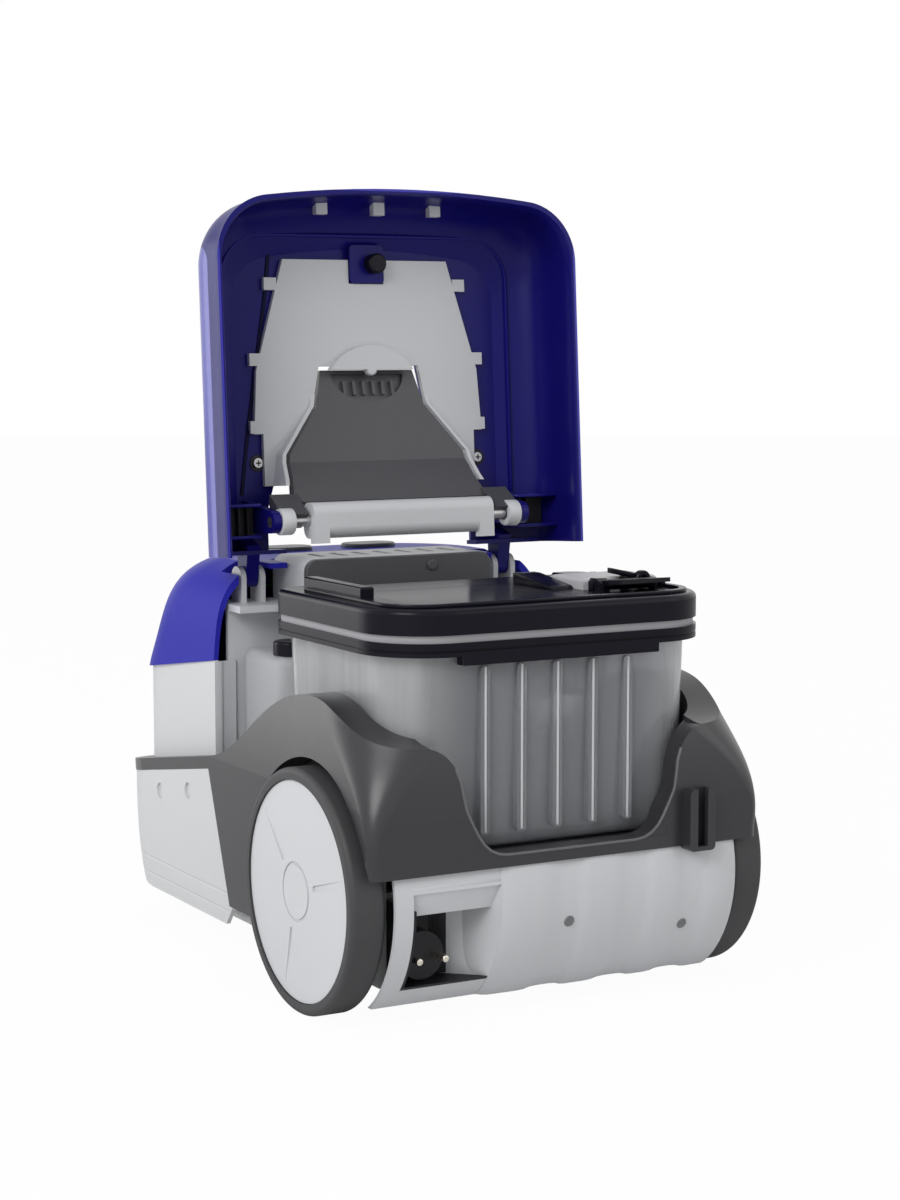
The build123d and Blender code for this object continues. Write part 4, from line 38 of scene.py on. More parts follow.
# Studio camera, standing behind the machine on its left, a little above the tank.
# The lens and the place follow the photograph's perspective of the wheels and the lid.
eye = Vector((0.8446, 1.5825, 0.4477))
look = Vector((-0.48424, -0.86822, -0.10815)).normalized()
lens_mm, sensor_mm = 73.98, 36.0
far_clip = 30.0
right = look.cross(Vector((0, 0, 1))).normalized()
up = right.cross(look)
camera_data = bpy.data.cameras.new("studio_camera")
camera_data.lens = lens_mm
camera_data.sensor_width = sensor_mm
camera_data.clip_end = far_clip
camera = bpy.data.objects.new("studio_camera", camera_data)
camera.matrix_world = Matrix((
    (right.x, up.x, -look.x, eye.x),
    (right.y, up.y, -look.y, eye.y),
    (right.z, up.z, -look.z, eye.z),
    (0, 0, 0, 1),
))
scene.collection.objects.link(camera)
scene.camera = camera


# Studio light: a broad soft box high on the viewer's left, a weak one on the right,
# one low on the far left that draws a bright edge, and a pale surround
# that shows as white behind the machine and in its gloss.
def feed(web, socket, term):
    """Links another node's output to a socket, or sets the socket's constant."""
    if isinstance(term, bpy.types.NodeSocket):
        web.links.new(term, socket)
    else:
        socket.default_value = term


def worked_out(web, operation, *terms):
    """Adds a math node and returns its result."""
    step = web.nodes.new("ShaderNodeMath")
    step.operation = operation
    for socket, term in zip(step.inputs, terms):
        feed(web, socket, term)
    return step.outputs[0]


def ranged(web, value, span, goal=(0.0, 1.0), curve="LINEAR"):
    """Adds a node that takes a span of values to a goal, and returns its result."""
    step = web.nodes.new("ShaderNodeMapRange")
    step.interpolation_type = curve
    web.links.new(value, step.inputs["Value"])
    for socket, number in zip(("From Min", "From Max", "To Min", "To Max"), (*span, *goal)):
        step.inputs[socket].default_value = number
    return step.outputs["Result"]


def soft_box(name, place, aim, size, watts):
    """One square studio lamp pointed at a spot."""
    data = bpy.data.lights.new(name, "AREA")
    data.size = size
    data.energy = watts
    lamp = bpy.data.objects.new(name, data)
    lamp.location = place
    lamp.rotation_euler = (Vector(aim) - Vector(place)).to_track_quat("-Z", "Y").to_euler()
    scene.collection.objects.link(lamp)


surround_as_light, surround_as_seen = 0.50, 1.0
world = bpy.data.worlds.new("studio_surround")
world.use_nodes = True
scene.world = world
surround = world.node_tree
surround.nodes.clear()
rays = surround.nodes.new("ShaderNodeLightPath").outputs
straight = worked_out(surround, "MAXIMUM", rays["Is Camera Ray"], rays["Is Transmission Ray"])
seen = worked_out(surround, "MAXIMUM", straight, rays["Is Glossy Ray"])
strength = ranged(surround, seen, (0.0, 1.0), (surround_as_light, surround_as_seen))
sky = surround.nodes.new("ShaderNodeBackground")
sky.inputs["Color"].default_value = (1, 1, 1, 1)
surround.links.new(strength, sky.inputs["Strength"])
out = surround.nodes.new("ShaderNodeOutputWorld")
surround.links.new(sky.outputs[0], out.inputs["Surface"])
soft_box("key_box", (2.2, 1.4, 1.9), aim=(0, 0, 0.25), size=1.4, watts=44)
soft_box("fill_box", (-1.8, 1.8, 1.2), aim=(0, 0, 0.25), size=1.6, watts=8)
soft_box("side_box", (1.35, -1.65, 0.55), aim=(0.1, 0, 0.3), size=1.2, watts=9)

# Studio floor: a wide pale sheet just under the wheels.
# To the camera it glows nearly white, so it keeps only a faint shadow of the machine.
floor_radius, floor_drop = 9.0, 0.0006
floor_glow = 0.965
floor_mesh = bpy.data.meshes.new("studio_floor")
sheet = bmesh.new()
bmesh.ops.create_circle(sheet, cap_ends=True, segments=96, radius=floor_radius)
sheet.to_mesh(floor_mesh)
sheet.free()
floor = bpy.data.objects.new("studio_floor", floor_mesh)
floor.location.z = -floor_drop
scene.collection.objects.link(floor)
floor_paint = bpy.data.materials.new("pale_floor")
floor_paint.use_nodes = True
web = floor_paint.node_tree
web.nodes.clear()
matt = web.nodes.new("ShaderNodeBsdfDiffuse")
matt.inputs["Color"].default_value = (0.9, 0.9, 0.9, 1)
glow = web.nodes.new("ShaderNodeEmission")
glow.inputs["Strength"].default_value = 1.0
rays = web.nodes.new("ShaderNodeLightPath").outputs
mix = web.nodes.new("ShaderNodeMixShader")
web.links.new(worked_out(web, "MULTIPLY", rays["Is Camera Ray"], floor_glow), mix.inputs["Fac"])
web.links.new(matt.outputs[0], mix.inputs[1])
web.links.new(glow.outputs[0], mix.inputs[2])
out = web.nodes.new("ShaderNodeOutputMaterial")
web.links.new(mix.outputs[0], out.inputs["Surface"])
floor.data.materials.append(floor_paint)


# Chassis: base pan and front skirt, injection moulded in a satin pearl grey.
# The skin has a fine spark-eroded grain, a slow drift in tone and a little dust in its gloss,
# and the foot of the skirt carries shallow creases level with the floor.
def blended(web, factor, first, second, blend="MIX"):
    """Adds a mix of two colours and returns its result."""
    step = web.nodes.new("ShaderNodeMix")
    step.data_type = "RGBA"
    step.blend_type = blend
    for socket, term in (("Factor", factor), ("A", first), ("B", second)):
        feed(web, step.inputs[socket], term)
    return step.outputs["Result"]


def noise(web, point, scale, detail):
    """Adds a noise texture and returns its strength."""
    step = web.nodes.new("ShaderNodeTexNoise")
    web.links.new(point, step.inputs["Vector"])
    feed(web, step.inputs["Scale"], scale)
    step.inputs["Detail"].default_value = detail
    return step.outputs["Fac"]


def own_point(web):
    """Adds a piece's own coordinates to its material."""
    return web.nodes.new("ShaderNodeTexCoord").outputs["Object"]


def taken_apart(web, point):
    """Splits a point into its X, Y and Z."""
    apart = web.nodes.new("ShaderNodeSeparateXYZ")
    web.links.new(point, apart.inputs[0])
    return apart.outputs


moulded_skin = bpy.data.node_groups.new("moulded_skin", "ShaderNodeTree")
face = moulded_skin.interface
face.new_socket("Colour", in_out="INPUT", socket_type="NodeSocketColor")
for socket, value in (("Tone drift", 0.06), ("Grain size", 900.0), ("Gloss", 0.4), ("Gloss drift", 0.1)):
    face.new_socket(socket, in_out="INPUT", socket_type="NodeSocketFloat").default_value = value
face.new_socket("Colour", in_out="OUTPUT", socket_type="NodeSocketColor")
face.new_socket("Roughness", in_out="OUTPUT", socket_type="NodeSocketFloat")
face.new_socket("Grain", in_out="OUTPUT", socket_type="NodeSocketFloat")
given = moulded_skin.nodes.new("NodeGroupInput").outputs
made = moulded_skin.nodes.new("NodeGroupOutput").inputs
point = own_point(moulded_skin)
swing = worked_out(moulded_skin, "SUBTRACT", noise(moulded_skin, point, scale=9.0, detail=3.0), 0.5)
tone = worked_out(moulded_skin, "MULTIPLY_ADD", swing, given["Tone drift"], 1.0)
tinted = blended(moulded_skin, 1.0, given["Colour"], tone, "MULTIPLY")
moulded_skin.links.new(tinted, made["Colour"])
dust = noise(moulded_skin, point, scale=60.0, detail=5.0)
haze = worked_out(moulded_skin, "MULTIPLY_ADD", dust, given["Gloss drift"], given["Gloss"])
moulded_skin.links.new(haze, made["Roughness"])
grain = noise(moulded_skin, point, scale=given["Grain size"], detail=2.0)
moulded_skin.links.new(grain, made["Grain"])


def moulding(name, colour, gloss, drift=0.06, grain=900.0, depth=0.00008, shine=0.5):
    """Moulded plastic; drift is the swing of its tone, depth that of its grain, shine its mirror level."""
    plastic = bpy.data.materials.new(name)
    plastic.use_nodes = True
    web = plastic.node_tree
    skin = web.nodes.new("ShaderNodeGroup")
    skin.name = "skin"
    skin.node_tree = moulded_skin
    skin.inputs["Colour"].default_value = (*colour, 1)
    skin.inputs["Tone drift"].default_value = drift
    skin.inputs["Grain size"].default_value = grain
    skin.inputs["Gloss"].default_value = gloss
    skin.inputs["Gloss drift"].default_value = 0.08
    shader = web.nodes["Principled BSDF"]
    web.links.new(skin.outputs["Colour"], shader.inputs["Base Color"])
    web.links.new(skin.outputs["Roughness"], shader.inputs["Roughness"])
    relief = web.nodes.new("ShaderNodeBump")
    relief.name = "relief"
    relief.inputs["Distance"].default_value = depth
    relief.inputs["Strength"].default_value = 0.5
    web.links.new(skin.outputs["Grain"], relief.inputs["Height"])
    web.links.new(relief.outputs["Normal"], shader.inputs["Normal"])
    shader.inputs["Specular IOR Level"].default_value = shine
    return plastic


def engrave(web, height, depth, strength, invert=False):
    """Lays a second relief over a moulding's grain."""
    cut = web.nodes.new("ShaderNodeBump")
    cut.invert = invert
    cut.inputs["Distance"].default_value = depth
    cut.inputs["Strength"].default_value = strength
    web.links.new(height, cut.inputs["Height"])
    web.links.new(web.nodes["relief"].outputs["Normal"], cut.inputs["Normal"])
    web.links.new(cut.outputs["Normal"], web.nodes["Principled BSDF"].inputs["Normal"])


def paint(material, *names):
    """Gives CAD pieces their material."""
    for name in names:
        nodes[name].data.materials.clear()
        nodes[name].data.materials.append(material)


housing_colour, housing_gloss = (0.60, 0.61, 0.62), 0.38
crease_pitch, crease_half_w, creases_top = 0.013, 0.0013, 0.058
pearl_grey = moulding("pearl_grey_satin", housing_colour, housing_gloss)
paint(pearl_grey, "base_pan", "front_housing", "hose_socket", "reel_drum")
creased_grey = moulding("creased_pearl_grey", housing_colour, housing_gloss)
web = creased_grey.node_tree
height = taken_apart(web, own_point(web))["Z"]
from_crease = worked_out(web, "PINGPONG", height, crease_pitch / 2)
crease = ranged(web, from_crease, (0.0, crease_half_w), curve="SMOOTHSTEP")
plain_above = worked_out(web, "GREATER_THAN", height, creases_top)
engrave(web, worked_out(web, "MAXIMUM", crease, plain_above), depth=0.0006, strength=0.5)
paint(creased_grey, "front_skirt")

# Bumper ring round the chassis, with the nozzle parking slot screwed to its back:
# dark grey, semi-gloss, and soft enough to take knocks.
bumper_grey = moulding("bumper_grey", (0.030, 0.030, 0.034), 0.27, drift=0.12, depth=0.00006, shine=0.45)
paint(bumper_grey, "bumper", "parking_slot", "castor_fork", "axle_caps")

# Rear panel between the wheels, held by two screws, with a pocket that keeps the plug.
# Satin grey like the housing, a shade deeper; the pocket is black as painted shade for its deep hole,
# and the screws, pins and axles are plated metal.
panel_grey = moulding("panel_grey_satin", (0.56, 0.57, 0.59), 0.40)
paint(panel_grey, "rear_panel")
matt_black = moulding("matt_black", (0.010, 0.010, 0.013), 0.45, shine=0.3)
# The garage's black is painted shade for the deep pocket; the plug itself is black.
paint(matt_black, "plug_garage", "plug_body")


def turned_metal(name, colour, rough):
    """Plain metal with a gloss that dulls in patches."""
    metal = bpy.data.materials.new(name)
    metal.use_nodes = True
    web = metal.node_tree
    skin = web.nodes.new("ShaderNodeGroup")
    skin.node_tree = moulded_skin
    skin.inputs["Colour"].default_value = (*colour, 1)
    skin.inputs["Gloss"].default_value = rough
    skin.inputs["Gloss drift"].default_value = 0.15
    shader = web.nodes["Principled BSDF"]
    shader.inputs["Metallic"].default_value = 1.0
    web.links.new(skin.outputs["Colour"], shader.inputs["Base Color"])
    web.links.new(skin.outputs["Roughness"], shader.inputs["Roughness"])
    return metal


paint(turned_metal("nickel_pin", (0.72, 0.68, 0.60), 0.2), "plug_pins")
steel = turned_metal("plated_steel", (0.42, 0.42, 0.43), 0.32)
paint(steel, "rear_axle", "castor_pin", "handle_rod", "hinge_pins", "panel_screws", "liner_screws")
paint(steel, "rotor_shaft", "motor_can")


# Fluted face of the rear panel: the outer skin carries three broad shallow channels from top to bottom,
# with a screw sunk in two of them, and its lower edge follows the channels.
def fit(name, form, material, body):
    """Turns a finished bmesh into a piece that moves with a body."""
    mesh = bpy.data.meshes.new(name)
    bmesh.ops.recalc_face_normals(form, faces=form.faces)
    form.to_mesh(mesh)
    form.free()
    mesh.shade_smooth()
    mesh.set_sharp_from_angle(angle=0.6)
    mesh.materials.append(material)
    piece = bpy.data.objects.new(name, mesh)
    scene.collection.objects.link(piece)
    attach(piece, body)


def soften(form, width, segments=2):
    """Rounds every sharp edge of a closed form."""
    sharp = [edge for edge in form.edges if edge.is_manifold and edge.calc_face_angle(0) > 0.5]
    bmesh.ops.bevel(
        form, geom=sharp, offset=width, segments=segments, profile=0.5,
        affect="EDGES", material=-1, clamp_overlap=True,
    )


def draw_out(form, sheets, reach):
    """Gives sheets a thickness by drawing them out; returns the new vertices."""
    drawn = bmesh.ops.extrude_face_region(form, geom=sheets, use_keep_orig=True)
    raised = [item for item in drawn["geom"] if isinstance(item, bmesh.types.BMVert)]
    bmesh.ops.translate(form, verts=raised, vec=reach)
    return raised


def slab(form, outline, thickness, place):
    """Adds a plate with the given outline, drawn out by its thickness and put in place."""
    corners = [form.verts.new((x, y, 0)) for x, y in outline]
    raised = draw_out(form, [form.faces.new(corners)], (0, 0, thickness))
    bmesh.ops.transform(form, matrix=place, verts=corners + raised)


def turn(form, profile, axis, steps):
    """Adds a ring turned once round an axis from its profile in x and z; returns its vertices."""
    standing = set(form.verts)
    rim = [form.verts.new((x, 0, z)) for x, z in profile]
    line = [form.edges.new(pair) for pair in zip(rim, rim[1:])]
    bmesh.ops.spin(
        form, geom=rim + line, cent=(0, 0, 0), axis=axis, angle=2 * math.pi, steps=steps, use_merge=True
    )
    return [vert for vert in form.verts if vert not in standing]


def close_holes(form):
    """Fills every open rim of a form."""
    bmesh.ops.holes_fill(form, edges=[edge for edge in form.edges if edge.is_boundary], sides=0)


along_x, along_z = (1, 0, 0), (0, 0, 1)
upright_to_rear = Matrix.Rotation(-math.pi / 2, 4, "X")
panel_axle_y, panel_axle_z = 0.145, 0.082
panel_skin_t = 0.0008
flute_foot, flute_sweep = math.radians(-52.4), math.radians(66.4)
flute_line = (
    (0.0535, 0.0883), (0.0500, 0.0892), (0.0450, 0.0899), (0.0230, 0.0901), (0.0170, 0.0897),
    (0.0125, 0.0887), (0.0070, 0.0883), (-0.0030, 0.0883), (-0.0075, 0.0887), (-0.0105, 0.0897),
    (-0.0145, 0.0901), (-0.0300, 0.0901), (-0.0360, 0.0897), (-0.0405, 0.0887), (-0.0460, 0.0883),
    (-0.0560, 0.0883), (-0.0605, 0.0887), (-0.0635, 0.0897), (-0.0675, 0.0901), (-0.0780, 0.0901),
    (-0.0835, 0.0897), (-0.0875, 0.0887), (-0.0925, 0.0883), (-0.1005, 0.0883), (-0.1050, 0.0887),
    (-0.1080, 0.0897), (-0.1120, 0.0901), (-0.1265, 0.0899), (-0.1305, 0.0885),
)
form = bmesh.new()
rule = [form.verts.new((x, radius, 0)) for x, radius in flute_line]
edge_line = [form.edges.new(pair) for pair in zip(rule, rule[1:])]
bmesh.ops.rotate(form, cent=(0, 0, 0), matrix=Matrix.Rotation(flute_foot, 3, "X"), verts=rule)
bmesh.ops.spin(
    form, geom=rule + edge_line, cent=(0, 0, 0), axis=along_x, angle=flute_sweep, steps=44, use_merge=False
)
bmesh.ops.recalc_face_normals(form, faces=form.faces)
bmesh.ops.solidify(form, geom=form.faces[:], thickness=panel_skin_t)
bmesh.ops.translate(form, vec=(0, panel_axle_y, panel_axle_z), verts=form.verts)
fit("panel_skin", form, panel_grey, "chassis")
well_spots = ((0.001, 0.062), (-0.091, 0.049))
well_profile = ((0.0012, 0.0004), (0.0026, 0.0004), (0.0034, 0.0008), (0.0040, -0.0004))
channel_radius, well_radius = 0.088, 0.0884
form = bmesh.new()
for x, z in well_spots:
    lift = math.asin((z - panel_axle_z) / channel_radius)
    place = Matrix.Translation((x, panel_axle_y, panel_axle_z)) @ Matrix.Rotation(lift, 4, "X")
    place = place @ Matrix.Translation((0, well_radius, 0)) @ upright_to_rear
    bmesh.ops.transform(form, matrix=place, verts=turn(form, well_profile, along_z, 28))
close_holes(form)
# The wells' dark grey is painted shade round the sunk screws.
well_painted_shade = moulding("well_painted_shade", (0.16, 0.16, 0.17), 0.5)
fit("panel_screw_wells", form, well_painted_shade, "chassis")

# Scoop round the plug's pocket: a pale side wall that sweeps in from the panel's face, a sloping brow above,
# and a black sheet, painted shade, where the wall turns into the pocket; all clipped behind the panel.
facing_left = Matrix(((0, 0, 1, 0), (1, 0, 0, 0), (0, 1, 0, 0), (0, 0, 0, 1)))
pocket_floor_z = 0.0282
scoop_mouth_x, scoop_mouth_radius = 0.0530, 0.0884
scoop_foot, scoop_sweep, scoop_steps = math.radians(-38.4), math.radians(48.0), 24
scoop_back_x, scoop_back_y, scoop_back_top = 0.0668, 0.1990, 0.0800
form = bmesh.new()
mouth = form.verts.new((scoop_mouth_x, scoop_mouth_radius, 0))
bmesh.ops.rotate(form, cent=(0, 0, 0), matrix=Matrix.Rotation(scoop_foot, 3, "X"), verts=[mouth])
bmesh.ops.spin(
    form, geom=[mouth], cent=(0, 0, 0), axis=along_x, angle=scoop_sweep, steps=scoop_steps, use_merge=False
)
bmesh.ops.translate(form, vec=(0, panel_axle_y, panel_axle_z), verts=form.verts)
back = [form.verts.new((scoop_back_x, scoop_back_y, z)) for z in (pocket_floor_z, scoop_back_top)]
bmesh.ops.subdivide_edges(form, edges=[form.edges.new(back)], cuts=scoop_steps - 1)
bmesh.ops.bridge_loops(form, edges=form.edges[:])
bmesh.ops.recalc_face_normals(form, faces=form.faces)
bmesh.ops.solidify(form, geom=form.faces[:], thickness=panel_skin_t)
fit("plug_scoop_wall", form, panel_grey, "chassis")
brow_section = ((0.2312, 0.0974), (0.2326, 0.0960), (0.2248, 0.0766), (0.2232, 0.0772))
brow_x, brow_w = 0.0538, 0.0640
form = bmesh.new()
slab(form, brow_section, brow_w, Matrix.Translation((brow_x, 0, 0)) @ facing_left)
soften(form, 0.0005, 1)
fit("plug_brow", form, panel_grey, "chassis")
# Black sheet: painted shade over the slope into the pocket.
pocket_shade_section = ((0.0820, 0.1887), (0.0664, 0.1991), (0.0668, 0.1997), (0.0824, 0.1893))
pocket_shade_h = 0.0532
form = bmesh.new()
slab(form, pocket_shade_section, pocket_shade_h, Matrix.Translation((0, 0, pocket_floor_z)))
soften(form, 0.0002, 1)
fit("plug_pocket_painted_shade", form, matt_black, "chassis")

# Rolled edge of the bumper's rear ledge: the ledge runs up into the shoulders in two rounded corners,
# and a narrow bead along its rim is painted paler than the ring as a painted highlight; moulded in one with
# the ring.
facing_rear = Matrix(((1, 0, 0, 0), (0, 0, 1, 0), (0, 1, 0, 0), (0, 0, 0, 1)))
bumper_rear = 0.2340
ledge_curve = (
    (0.0866, 0.1706), (0.0834, 0.1619), (0.0819, 0.1529), (0.0801, 0.1439), (0.0783, 0.1396),
    (0.0761, 0.1353), (0.0736, 0.1305), (0.0706, 0.1252), (0.0668, 0.1199), (0.0620, 0.1157),
    (0.0560, 0.1130), (0.0500, 0.1121), (0.0440, 0.1120),
)
corner_outline = ledge_curve[5:-1] + ((0.0500, 0.1105), (0.0765, 0.1105), (0.0790, 0.1353))
corner_t, corner_set_in = 0.0160, 0.0162
form = bmesh.new()
for side in (1, -1):
    slab(
        form,
        [(side * x, z) for x, z in corner_outline],
        corner_t,
        Matrix.Translation((0, bumper_rear - corner_set_in, 0)) @ facing_rear,
    )
bmesh.ops.recalc_face_normals(form, faces=form.faces)
fit("ledge_corners", form, bumper_grey, "chassis")
ledge_z, ledge_lean = 0.112, 0.0143
shoulder_z, shoulder_lean = 0.147, 0.10
rim_half_w, rim_sunk, rim_t = 0.0009, 0.0012, 0.0019
rim_path = list(ledge_curve) + [(-x, z) for x, z in reversed(ledge_curve)]
form = bmesh.new()
pairs = []
for index, (x, z) in enumerate(rim_path):
    before, after = rim_path[max(index - 1, 0)], rim_path[min(index + 1, len(rim_path) - 1)]
    across_rim = Vector((before[1] - after[1], after[0] - before[0])).normalized() * rim_half_w
    lean = max(0.0, z - shoulder_z) * shoulder_lean + max(0.0, min(z, shoulder_z) - ledge_z) * ledge_lean
    y = bumper_rear - lean - rim_sunk
    pairs.append([form.verts.new((x + sign * across_rim.x, y, z + sign * across_rim.y)) for sign in (1, -1)])
for (high, low), (next_high, next_low) in zip(pairs, pairs[1:]):
    form.faces.new((high, low, next_low, next_high))
draw_out(form, form.faces[:], (0, rim_t, 0))
bmesh.ops.recalc_face_normals(form, faces=form.faces)
soften(form, 0.0006, 3)
# The bead's pale grey is a painted highlight along the ledge's rim.
fit("ledge_bead", form, moulding("bead_painted_highlight", (0.11, 0.11, 0.12), 0.30), "chassis")

# Wheels: pale hubcaps over pale rims, with a plain rubber tyre pressed on each rear rim
# and on the front castor roller. The rubber is matt, with a faint bloom.
hub_grey = moulding("hub_grey_satin", (0.60, 0.61, 0.63), 0.36)
paint(hub_grey, "left_rim", "right_rim", "left_hubcap", "right_hubcap", "float_ball")
tyre_rubber = moulding("tyre_rubber", (0.040, 0.040, 0.043), 0.55, drift=0.25, grain=1500.0, depth=0.00012)
paint(tyre_rubber, "left_tyre", "right_tyre", "castor_wheel")


# Dirty-water tank and clean-water tank: clear smoky plastic, ribbed at the back,
# blow moulded, a little hazy from the mould and streaked upright; the dirty tank's smoke is painted darker
# in the middle as painted shade and paler towards its corners as painted light.
def clear_moulding(name, colour, haze, through, bend=1.2):
    """Clear plastic with a fine ripple in its skin."""
    plastic = bpy.data.materials.new(name)
    plastic.use_nodes = True
    web = plastic.node_tree
    shader = web.nodes["Principled BSDF"]
    shader.inputs["Base Color"].default_value = (*colour, 1)
    shader.inputs["Roughness"].default_value = haze
    shader.inputs["Transmission Weight"].default_value = through
    shader.inputs["IOR"].default_value = bend
    skin = web.nodes.new("ShaderNodeGroup")
    skin.node_tree = moulded_skin
    skin.inputs["Grain size"].default_value = 60.0
    relief = web.nodes.new("ShaderNodeBump")
    relief.inputs["Distance"].default_value = 0.0001
    relief.inputs["Strength"].default_value = 0.2
    web.links.new(skin.outputs["Grain"], relief.inputs["Height"])
    web.links.new(relief.outputs["Normal"], shader.inputs["Normal"])
    return plastic


# Painted shade and light: the dirty tank's smoke darkens near the middle and pales towards its corners.
shade_until, light_from = 0.062, 0.116
painted_shade_smoke, painted_light_smoke = (0.52, 0.53, 0.56, 1), (0.88, 0.89, 0.90, 1)
smoky_clear = clear_moulding("smoky_clear", (0.66, 0.67, 0.69), 0.14, 0.70, 1.4)
web = smoky_clear.node_tree
point = own_point(web)
sideways = worked_out(web, "ABSOLUTE", taken_apart(web, point)["X"])
painted_light_share = ranged(web, sideways, (shade_until, light_from), curve="SMOOTHSTEP")
smoke = blended(web, painted_light_share, painted_shade_smoke, painted_light_smoke)
drawn_up = web.nodes.new("ShaderNodeMapping")
drawn_up.inputs["Scale"].default_value = (55.0, 55.0, 1.5)
web.links.new(point, drawn_up.inputs["Vector"])
flow = noise(web, drawn_up.outputs["Vector"], scale=1.0, detail=3.0)
flow_tone = ranged(web, flow, (0.3, 0.7), (0.86, 1.08))
streaked = blended(web, 1.0, smoke, flow_tone, "MULTIPLY")
web.links.new(streaked, web.nodes["Principled BSDF"].inputs["Base Color"])
paint(smoky_clear, "dirty_tank")
milky_clear = clear_moulding("milky_clear", (0.74, 0.75, 0.77), 0.30, 0.60)
paint(milky_clear, "clean_tank")


# Rib crests on the back of the dirty-water tank: five narrow pale strips along the ridges, painted
# highlights where the ridges, moulded in one with the wall, catch the light.
def oblong(left, right, low, high):
    """Outline of an upright oblong."""
    return (left, low), (right, low), (right, high), (left, high)


rib_pitch = 0.0275
crest_half_w, crest_t, crest_y = 0.0008, 0.0007, 0.2138
crest_low, crest_high = 0.1235, 0.2325
# Pale strips: painted highlights on the rib crests.
crest_painted_highlight = moulding("crest_painted_highlight", (0.56, 0.57, 0.59), 0.25)
form = bmesh.new()
for count in (-2, -1, 0, 1, 2):
    x = count * rib_pitch
    slab(
        form,
        oblong(x - crest_half_w, x + crest_half_w, crest_low, crest_high),
        crest_t,
        Matrix.Translation((0, crest_y, 0)) @ facing_rear,
    )
soften(form, 0.0002, 1)
fit("tank_rib_painted_highlights", form, crest_painted_highlight, "tank")

# Side pillars: pale strips that close the slot between the housing's wall and the bulkhead,
# stepped along their length and clipped to the bulkhead.
pillar_section = (
    (0.1195, -0.0359), (0.1338, -0.0359), (0.1338, -0.0330),
    (0.1312, -0.0330), (0.1300, -0.0342), (0.1195, -0.0342),
)
pillar_low, pillar_h = 0.1130, 0.0990
form = bmesh.new()
for side in (1, -1):
    slab(form, [(side * x, y) for x, y in pillar_section], pillar_h, Matrix.Translation((0, 0, pillar_low)))
bmesh.ops.recalc_face_normals(form, faces=form.faces)
soften(form, 0.0004, 1)
fit("side_pillars", form, panel_grey, "chassis")

# Tank cover: black gloss band and cover with a pale rubber seal squeezed between them,
# a dark clear window let into the top, a grip rail on the left and a sprung latch.
piano_black = moulding("piano_black", (0.005, 0.005, 0.010), 0.20, depth=0.00002, shine=0.14)
paint(piano_black, "tank_band", "tank_lid", "tank_grip", "tank_latch")
paint(piano_black, "clean_tank_cap", "lid_buffer", "float_cage")
dark_window = clear_moulding("dark_window", (0.070, 0.070, 0.085), 0.16, 0.5, 1.08)
paint(dark_window, "tank_window")
seal_rubber = moulding("pale_seal_rubber", (0.34, 0.34, 0.36), 0.55, drift=0.1)
paint(seal_rubber, "tank_seal")
frosted_cap = moulding("frosted_cap", (0.55, 0.55, 0.57), 0.42)
paint(frosted_cap, "inlet_hood")


# Upper step of the tank cover: a low black rim round the top, open at the front
# where the folded handle lies, moulded in one with the cover.
def open_rim(half_w, start, end, level, corner, corner_steps, width, mouth):
    """Makes a flat rim, rounded at its two far corners and cut open at its mouth."""
    form = bmesh.new()
    bmesh.ops.create_grid(form, x_segments=1, y_segments=1, size=1.0)
    bmesh.ops.scale(form, vec=(half_w, (end - start) / 2, 1), verts=form.verts)
    bmesh.ops.translate(form, vec=(0, (end + start) / 2, level), verts=form.verts)
    far_corners = [vert for vert in form.verts if vert.co.y > mouth]
    bmesh.ops.bevel(
        form, geom=far_corners, offset=corner, segments=corner_steps, profile=0.5,
        affect="VERTICES", material=-1,
    )
    middle = form.faces[:]
    bmesh.ops.inset_region(form, faces=middle, thickness=width, use_boundary=True, use_even_offset=True)
    bmesh.ops.delete(form, geom=middle, context="FACES")
    bmesh.ops.bisect_plane(
        form, geom=form.verts[:] + form.edges[:] + form.faces[:],
        plane_co=(0, mouth, 0), plane_no=(0, -1, 0), clear_outer=True,
    )
    return form


cover_top, step_h = 0.2718, 0.0026
form = open_rim(
    half_w=0.1175, start=0.047, end=0.2115, level=cover_top,
    corner=0.030, corner_steps=10, width=0.0052, mouth=0.074,
)
draw_out(form, form.faces[:], (0, 0, step_h))
soften(form, 0.0007)
fit("cover_step", form, piano_black, "tank_cover")

# Fittings on the right of the cover: a black wedge beside the frosted cap, a sloping clip bar on two posts,
# a round release wheel and a clip block, all moulded in black and snapped in.
wedge_section = ((0.099, cover_top), (0.152, cover_top), (0.149, 0.2745), (0.108, 0.2797), (0.099, 0.2797))
wedge_x, wedge_w = -0.0510, 0.0180
form = bmesh.new()
slab(form, wedge_section, wedge_w, Matrix.Translation((wedge_x, 0, 0)) @ facing_left)
soften(form, 0.0009)
fit("cover_wedge", form, piano_black, "tank_cover")
bar_section = ((-0.1165, 0.2768), (-0.1165, 0.2734), (-0.0725, 0.2828), (-0.0725, 0.2866))
block_section = (
    (-0.0700, cover_top), (-0.0560, cover_top), (-0.0560, 0.2778),
    (-0.0590, 0.2800), (-0.0670, 0.2800), (-0.0700, 0.2778),
)
bar_y, bar_t, block_t = 0.1600, 0.0070, 0.0080
post_tops = ((-0.1085, 0.2770), (-0.0840, 0.2822))
post_half_w, post_t, post_y, post_slope = 0.0022, 0.0050, 0.1610, 0.0008
form = bmesh.new()
slab(form, bar_section, bar_t, Matrix.Translation((0, bar_y, 0)) @ facing_rear)
for x, top in post_tops:
    left, right = x - post_half_w, x + post_half_w
    slab(
        form,
        ((left, cover_top), (right, cover_top), (right, top), (left, top - post_slope)),
        post_t,
        Matrix.Translation((0, post_y, 0)) @ facing_rear,
    )
slab(form, block_section, block_t, Matrix.Translation((0, bar_y, 0)) @ facing_rear)
soften(form, 0.0006)
fit("cover_clip_bar", form, piano_black, "tank_cover")
